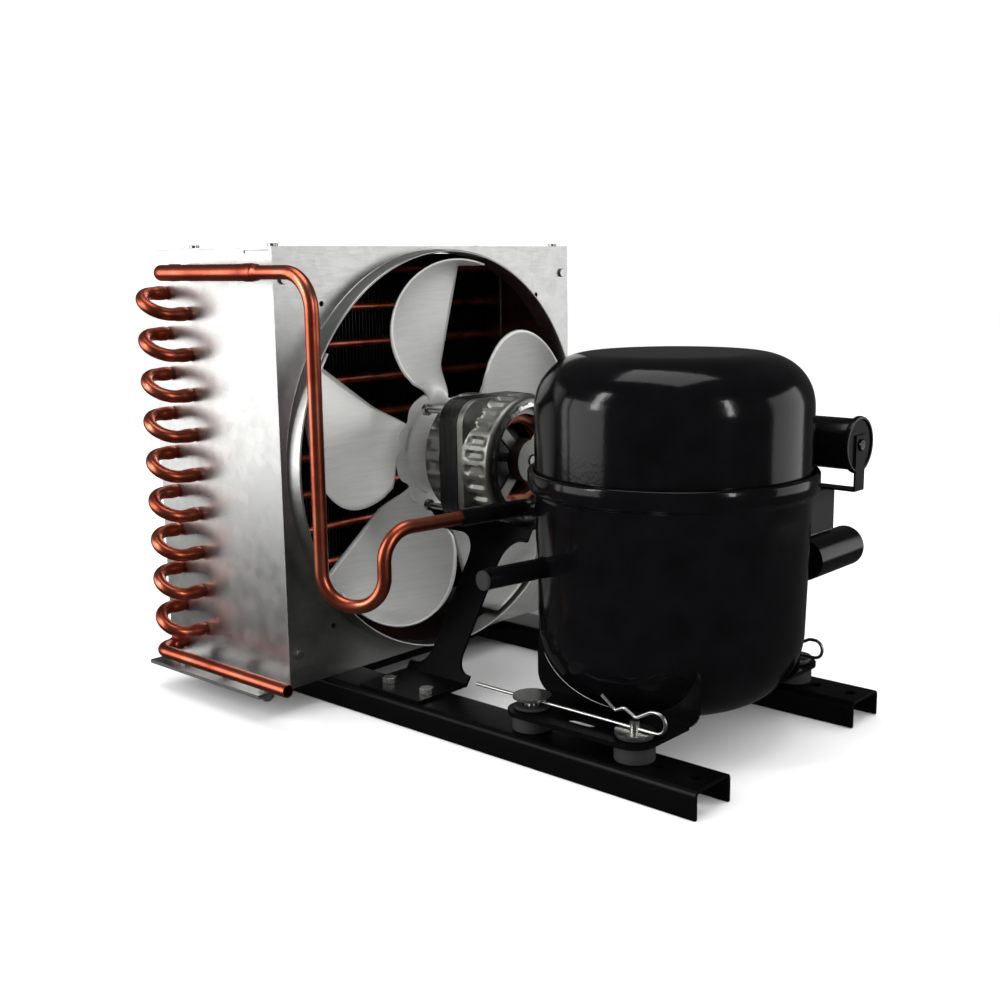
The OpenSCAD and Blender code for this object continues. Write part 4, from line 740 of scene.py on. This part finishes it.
class UNIT_OT_motor(bpy.types.Operator):
    """Builds the castings, the core and the windings of the fan motor"""
    bl_idname = "condensing_unit.motor"
    bl_label = "Fan motor"

    def execute(self, context):
        centre = (0, 0, AXIS_Z)
        front_depth, rear_depth = 16, 23
        core, back = core_low[0], core_high[0]
        front, end = core - front_depth, back + rear_depth

        def ribbed(count, depth, low, high):
            def shape(radius, a, height):
                wave = 1 / (1 + np.exp(-7 * np.sin(count * a)))
                inside = np.clip((height - low) / 1.5, 0, 1) * np.clip((high - height) / 1.5, 0, 1)
                return radius - depth * wave * inside * (radius > 36)
            return shape

        cup = moved([[3.4, 0], [13.4, 0], [13.6, 1.2], [34, 1.6], [38.6, 2.4], [40, 4.2], [40, 6], [40, 8], [40, 10],
                     [40, 12], [40, front_depth], [37.8, front_depth], [37.8, 4], [34, 3.6], [13.5, 3.4], [13.5, 9],
                     [11.1, 9], [11.1, 2.2], [3.4, 2.2], [3.4, 0]], 0, front)
        cup = revolve(cup, centre, "x", 240, ribbed(18, 1.6, front + 4, core - 1.5))
        mesh_piece("motor_front_cast", [cup], "motor_casting", ["motor_front_housing"], smooth=40)

        side = np.stack([np.full(12, 41.0), np.linspace(back, end - 4, 12)], -1)
        shell = np.concatenate([side, arc((37.5, end - 4), 3.5, 0, 80, 6),
                                moved([[36.2, -0.4], [36.2, 0], [34.0, 0], [33.8, -2], [36.5, -3.4], [38.8, -4.5],
                                       [38.8, -rear_depth], [41, -rear_depth]], 0, end)])
        shell = revolve(shell, centre, "x", 280, ribbed(28, 2.0, back + 3, end - 5))
        mesh_piece("motor_rear_cast", [shell], "motor_casting", ["motor_rear_housing"], smooth=40)

        def teeth(radius, a, height):
            return radius + 0.9 * (np.sin(24 * a) > 0.35) * (radius > 35) * (height > end - 0.9)

        ring = moved([[33.9, -1.6], [36.0, -1.6], [36.0, -0.8], [36.1, 0.5], [34.2, 0.7], [33.9, 0.4], [33.9, -1.6]],
                     0, end)
        mesh_piece("motor_end_ring", [revolve(ring, centre, "x", 240, teeth)], "machined_ring", smooth=30)

        # Rounded squares round the shaft, each a ring of points at its own place along it
        half, corner = (core_high[1] - core_low[1]) / 2, 16.0
        flat = half - corner
        turn = np.concatenate([arc((sy * flat, sz * flat), corner, s, s + 90, 10)
                               for sy, sz, s in ((1, 1, 0), (-1, 1, 90), (-1, -1, 180), (1, -1, 270))])
        way = turn / np.linalg.norm(turn, axis=1, keepdims=True)

        def squares(along, rings, bore_r):
            bore = way[None] * bore_r
            rings = np.concatenate([bore, rings, bore])
            along = np.repeat(along[:, None, None], rings.shape[1], 1)
            return grid(np.concatenate([along, rings], -1) + centre, around=True, along=True)

        sheets, gap, groove, collar = 18, 0.12, 0.22, 5.0
        joints = np.linspace(core, back - collar, sheets + 1)
        edges = np.sort(np.concatenate([joints[:-1] + gap, joints[1:] - gap, joints[1:-1]]))
        inset = np.zeros(len(edges))
        inset[2::3] = groove
        stack = squares(np.concatenate([[core], edges, [back - collar]]), turn - way * inset[:, None, None], 19.4)
        mesh_piece("motor_core_stack", [stack], "motor_laminations", ["motor_core"], smooth=25)

        steps = np.array([[0, 0], [1, 0], [collar, 0], [collar + 0.6, 0.12], [collar + 3.4, 0.9], [collar + 4.2, 1.0]])
        shares, round_r, shy = steps[:, 1:, None], 40.6, 0.996
        loft = squares(np.concatenate([[0], steps[:, 0], [collar + 4.2]]) + back - collar,
                       turn * (shy - shares) + way * round_r * shares, 37)
        mesh_piece("motor_rear_collar", [loft], "motor_casting", bevel=0.5)

        def bundled(radius, a, height):
            return radius + 1.3 * np.cos(8 * a) * (radius > 24)

        coils, coil_r, bundle_r = [], 27.5, 5.4
        for start, depth in ((core - 7.3, 7), (back + 0.3, 12)):
            middle = start + depth / 2
            bundle = arc((coil_r, middle), bundle_r, 0, 360, 20)
            bundle[:, 1] = middle + (bundle[:, 1] - middle) * depth / (2 * bundle_r)
            coils.append(revolve(bundle, centre, "x", 144, bundled))
        mesh_piece("motor_coils", coils, "motor_wire", ["motor_windings"], smooth=60)
        dressed("motor_end_cap", "motor_casting")
        dressed("motor_bolts", "zinc_plating")
        return {"FINISHED"}


class UNIT_OT_shell(bpy.types.Operator):
    """Builds the two drawn halves of the compressor shell with their rolled seam"""
    bl_idname = "condensing_unit.shell"
    bl_label = "Compressor shell"

    def execute(self, context):
        comp = settings().compressor
        radius, wall, rim = comp.radius / MM, comp.wall / MM, comp.rim / MM
        shoulder, knuckle = comp.shoulder / MM, comp.knuckle / MM
        low, top, seam = corners("compressor_lower_shell")[0][2], shell_high[2], SEAM_Z
        draft = 2
        bottom_r, bend_z = radius - draft, low + knuckle

        def lower(inset):
            wide, tall = np.linspace(bottom_r, radius, 10)[1:] - inset, np.linspace(bend_z, seam - 15, 10)[1:]
            return np.concatenate([[[r, low + inset] for r in (0, 12, 24)],
                                   arc((bottom_r - knuckle, bend_z), knuckle - inset, -90, 0, 26),
                                   np.stack([wide, tall], -1)])

        lip = moved([[0.3, -13.4], [1.4, -12.2], [rim - 0.9, -11], [rim, -9.6], [rim, -5], [rim, -1.6],
                     [rim - 0.5, -0.6], [rim - 1.6, -0.1], [1.2, -0.4], [0.35, -1.2], [0.2, -9],
                     [0.6 - wall, -12.6]], radius, seam)

        def upper(inset):
            side = moved([[-inset, -9], [-inset, -2], [-inset, 4], [-inset, 12]], radius, seam)
            a, drop, fullness = np.radians(np.linspace(0, 90, 26)), shoulder * 0.92, 0.92
            bend = np.stack([radius - shoulder + (shoulder - inset) * np.cos(a) ** fullness,
                             top - drop + (drop - inset) * np.sin(a) ** fullness], -1)
            return np.concatenate([side, bend, [[r, top - inset] for r in (radius - shoulder - 4, 20, 0)]])

        for half, profile in (("lower", [lower(0), lip, lower(wall)[::-1]]),
                              ("upper", [upper(0), upper(wall)[::-1], upper(0)[:1]])):
            skin = revolve(np.concatenate(profile), (COMP_X, COMP_Y, 0), "z", 160)
            mesh_piece("shell_" + half, [skin], "shell_enamel", ["compressor_%s_shell" % half], smooth=50)
        return {"FINISHED"}


class UNIT_OT_stubs(bpy.types.Operator):
    """Builds the enamelled discharge and suction stubs"""
    bl_idname = "condensing_unit.stubs"
    bl_label = "Stubs"

    def execute(self, context):
        radius, angle = settings().compressor.radius / MM, math.radians(203)
        end, knee = np.array([FACE_X + 103.4, -90, DISCHARGE_Z]), np.array([FACE_X + 111, -42, DISCHARGE_Z])
        root = np.array([COMP_X + radius * math.cos(angle), COMP_Y + radius * math.sin(angle), DISCHARGE_Z])
        inward = (root - knee) / np.linalg.norm(root - knee)
        line, run = resample(rounded_route([end, knee, root + inward * 2.6], [9]), 1.0)
        collar = 0.9 * np.exp(-((run - run[-1] + 3.5) / 2.4) ** 4)
        discharge = tube(line, 5.2 + collar, 1.1, 28)

        root, end = np.array([FACE_X + 153.5, -67, SUCTION_Z]), np.array([FACE_X + 145, -117, SUCTION_Z])
        way = (end - root) / np.linalg.norm(end - root)
        line, run = resample(np.stack([root - way * 4, end]), 1.0)
        collar = 1.1 * np.exp(-((run - 8) / 3.4) ** 4)
        suction = tube(line, 5.8 + collar, 0.9, 28)
        for name, stub in (("discharge_stub", discharge), ("suction_stub", suction)):
            mesh_piece(name + "_drawn", [stub], "shell_enamel", [name], smooth=60)
        dressed("suction_plug", "grommet_rubber", bevel=0.6)
        return {"FINISHED"}


class UNIT_OT_mountings(bpy.types.Operator):
    """Builds the grommets, pins, clips and screws"""
    bl_idname = "condensing_unit.mountings"
    bl_label = "Mountings"

    def execute(self, context):
        dressed("grommets", "grommet_rubber", bevel=0.8)
        dressed("mount_pins", "zinc_plating", bevel=0.35)
        for name in ("bracket_screws", "casing_screws", "flange_screws"):
            dressed(name, "zinc_plating")
        near_row, far_row = -91.5, 75.0
        reach, tall, wire, pitch, tail = 19, 11, 2.0, 70, 42
        front_x, wire_z = COMP_X + pitch / 2, corners("retaining_clips")[0][2] + wire / 2
        shares = [[1, 0], [1, 1], [0.55, 1], [0.03, 0.5], [-0.37, 0.86], [-0.66, 0.6], [-1.13, 1.2]]
        clips = []
        for y in (near_row, far_row):
            places = [[front_x - pitch - tail, y, wire_z]] + [[front_x + px * reach, y, wire_z + pz * tall]
                                                              for px, pz in shares]
            line = rounded_route(places, [5.2, 5.2, 5.0, 3.0, 2.5, 1.6], 10)
            clips.append(sweep(resample(line, 0.8)[0], wire / 2, 14, guide=(0, 1, 0)))
        mesh_piece("retaining_clips_bent", clips, "zinc_plating", ["retaining_clips"], smooth=60)
        return {"FINISHED"}


class UNIT_OT_electrics(bpy.types.Operator):
    """Builds the two capacitors, their strap and the terminal cover"""
    bl_idname = "condensing_unit.electrics"
    bl_label = "Electrical parts"

    def execute(self, context):
        dressed("terminal_cover", "black_plastic", bevel=1.0)
        dressed("capacitor_strap", "strap_paint", bevel=0.35)
        low, high = corners("start_capacitor")
        y, z, r = (low[1] + high[1]) / 2, (low[2] + high[2]) / 2, (high[2] - low[2]) / 2
        back, front = low[0], high[0]
        profile = np.concatenate([
            [[0, back], [r - 3, back]], arc((r - 2, back + 2), 2, -90, 0, 6),
            moved([[0, 6], [-0.5, 7], [-0.5, 9], [0, 10]], r, back),
            moved([[0, -4], [0, -1], [-0.6, 0], [-1.8, 0], [-2.2, -1.2]], r, front),
            moved([[4, -1.2], [3.4, 0], [0, 0]], 0, front)])
        mesh_piece("start_capacitor_can", [revolve(profile, (0, y, z), "x", 96)], "capacitor_case",
                   ["start_capacitor"], smooth=40)

        plate = front + 2.3
        rim = moved([[14.9, -0.2], [15.1, 0.9], [15.7, 1.1], [16.6, 0.8], [16.8, -0.2], [14.9, -0.2]], 0, plate)
        boss = moved([[0, -0.2], [3.6, -0.2], [3.6, 1.9], [2.9, 2.5], [1.7, 2.5], [0, 2.1]], 0, plate)
        rings = [revolve(rim, (0, y, z), "x", 96), revolve(boss, (0, y, z), "x", 32)]
        mesh_piece("capacitor_rim", rings, "capacitor_case", ["capacitor_strap"], slot="black_strap", smooth=40)
        dressed("run_capacitor", "capacitor_case", bevel=0, smooth=50)
        dressed("terminal_pins", "turned_steel", bevel=0)
        return {"FINISHED"}


class UNIT_OT_stage(bpy.types.Operator):
    """Builds the floor, the lights and the camera"""
    bl_idname = "condensing_unit.stage"
    bl_label = "Stage"

    def execute(self, context):
        scene = context.scene
        half, drop = 6.0, 0.0004
        xs, ys = np.meshgrid(*[np.linspace(-half, half, 9)] * 2, indexing="ij")
        points, faces = grid(np.stack([xs, ys, np.full_like(xs, -drop)], -1))
        mesh = bpy.data.meshes.new("floor")
        mesh.from_pydata(points.tolist(), [], faces.tolist())
        mesh.materials.append(library()["studio_floor"])
        floor = bpy.data.objects.new("floor", mesh)
        scene.collection.objects.link(floor)
        floor.visible_glossy = False

        world = bpy.data.worlds.new("studio")
        scene.world = world
        world.use_nodes = True
        tree = world.node_tree
        back = tree.nodes["Background"]
        back.inputs["Color"].default_value = (1, 1, 1, 1)
        path = add(tree, "ShaderNodeLightPath")
        strength = 0.0
        for ray, power in (("Camera", 1.2), ("Diffuse", 1.15), ("Glossy", 0.06)):
            strength = add(tree, "ShaderNodeMath", {"operation": "MULTIPLY_ADD"}, _0=path.outputs["Is %s Ray" % ray],
                           _1=power, _2=strength).outputs[0]
        tree.links.new(strength, back.inputs["Strength"])

        for name, place, aim, wide, tall, power in (
                ("left_card", (-1.5, -1.7, 0.35), (-0.1, 0, 0.15), 1.9, 1.2, 21),
                ("right_card", (1.5, 1.6, 0.35), (-0.05, 0, 0.16), 1.6, 1.3, 12),
                ("top_card", (0.0, -0.1, 2.1), (0, 0, 0.1), 1.5, 1.1, 17),
                ("tall_strip", (-0.75, -1.5, 0.95), (0.13, 0, 0.15), 0.22, 1.0, 12),
                ("front_strip", (1.9, -0.35, 0.7), (0.13, 0, 0.12), 0.12, 0.9, 8)):
            data = bpy.data.lights.new(name, "AREA")
            data.shape = "RECTANGLE"
            data.size, data.size_y, data.energy = wide, tall, power
            lamp = bpy.data.objects.new(name, data)
            lamp.location = place
            lamp.rotation_euler = (Vector(aim) - Vector(place)).to_track_quat("-Z", "Y").to_euler()
            lamp.visible_camera = False
            scene.collection.objects.link(lamp)

        turn, rise, lean = math.radians(41.75), math.radians(10.54), math.radians(-0.72)
        back_way = Vector((math.sin(turn) * math.cos(rise), -math.cos(turn) * math.cos(rise), math.sin(rise)))
        level = Vector((math.cos(turn), math.sin(turn), 0))
        up = back_way.cross(level)
        right = level * math.cos(lean) + up * math.sin(lean)
        upright = up * math.cos(lean) - level * math.sin(lean)
        data = bpy.data.cameras.new("camera")
        data.sensor_width = 36
        data.lens = 46.14
        data.clip_start, data.clip_end = 0.01, 50
        camera = bpy.data.objects.new("camera", data)
        stand = Matrix.Translation((0.5346, -0.6098, 0.2716))
        camera.matrix_world = stand @ Matrix((right, upright, back_way)).transposed().to_4x4()
        scene.collection.objects.link(camera)
        scene.camera = camera
        scene.view_settings.view_transform = "Standard"
        scene.view_settings.look = "None"
        return {"FINISHED"}


class UNIT_PT_panel(bpy.types.Panel):
    """Lists the settings and the pieces"""
    bl_label = "Condensing Unit"
    bl_idname = "UNIT_PT_panel"
    bl_space_type = "VIEW_3D"
    bl_region_type = "UI"
    bl_category = "Condensing Unit"

    def draw(self, context):
        for group in ("casing", "coil", "fan", "compressor", "finish"):
            box = self.layout.box()
            box.label(text=group.capitalize())
            values = getattr(settings(), group)
            for key in values.__annotations__:
                box.prop(values, key)
        for step in STEPS:
            self.layout.operator(step.bl_idname)


STEPS = (UNIT_OT_stage, UNIT_OT_finishes, UNIT_OT_sheet_metal, UNIT_OT_face, UNIT_OT_coil, UNIT_OT_pipes, UNIT_OT_fan,
         UNIT_OT_motor, UNIT_OT_shell, UNIT_OT_stubs, UNIT_OT_mountings, UNIT_OT_electrics)
CLASSES = (CasingSettings, CoilSettings, FanSettings, CompressorSettings, FinishSettings, UnitSettings,
           *STEPS, UNIT_PT_panel)


def register():
    """Adds the settings, steps and panel to Blender."""
    for kind in CLASSES:
        bpy.utils.register_class(kind)
    bpy.types.Scene.condensing_unit = PointerProperty(type=UnitSettings)


def unregister():
    """Takes them out again."""
    del bpy.types.Scene.condensing_unit
    for kind in reversed(CLASSES):
        bpy.utils.unregister_class(kind)


def main():
    """Builds every piece."""
    register()
    for step in STEPS:
        group, name = step.bl_idname.split(".")
        getattr(getattr(bpy.ops, group), name)()


if __name__ == "__main__":
    main()
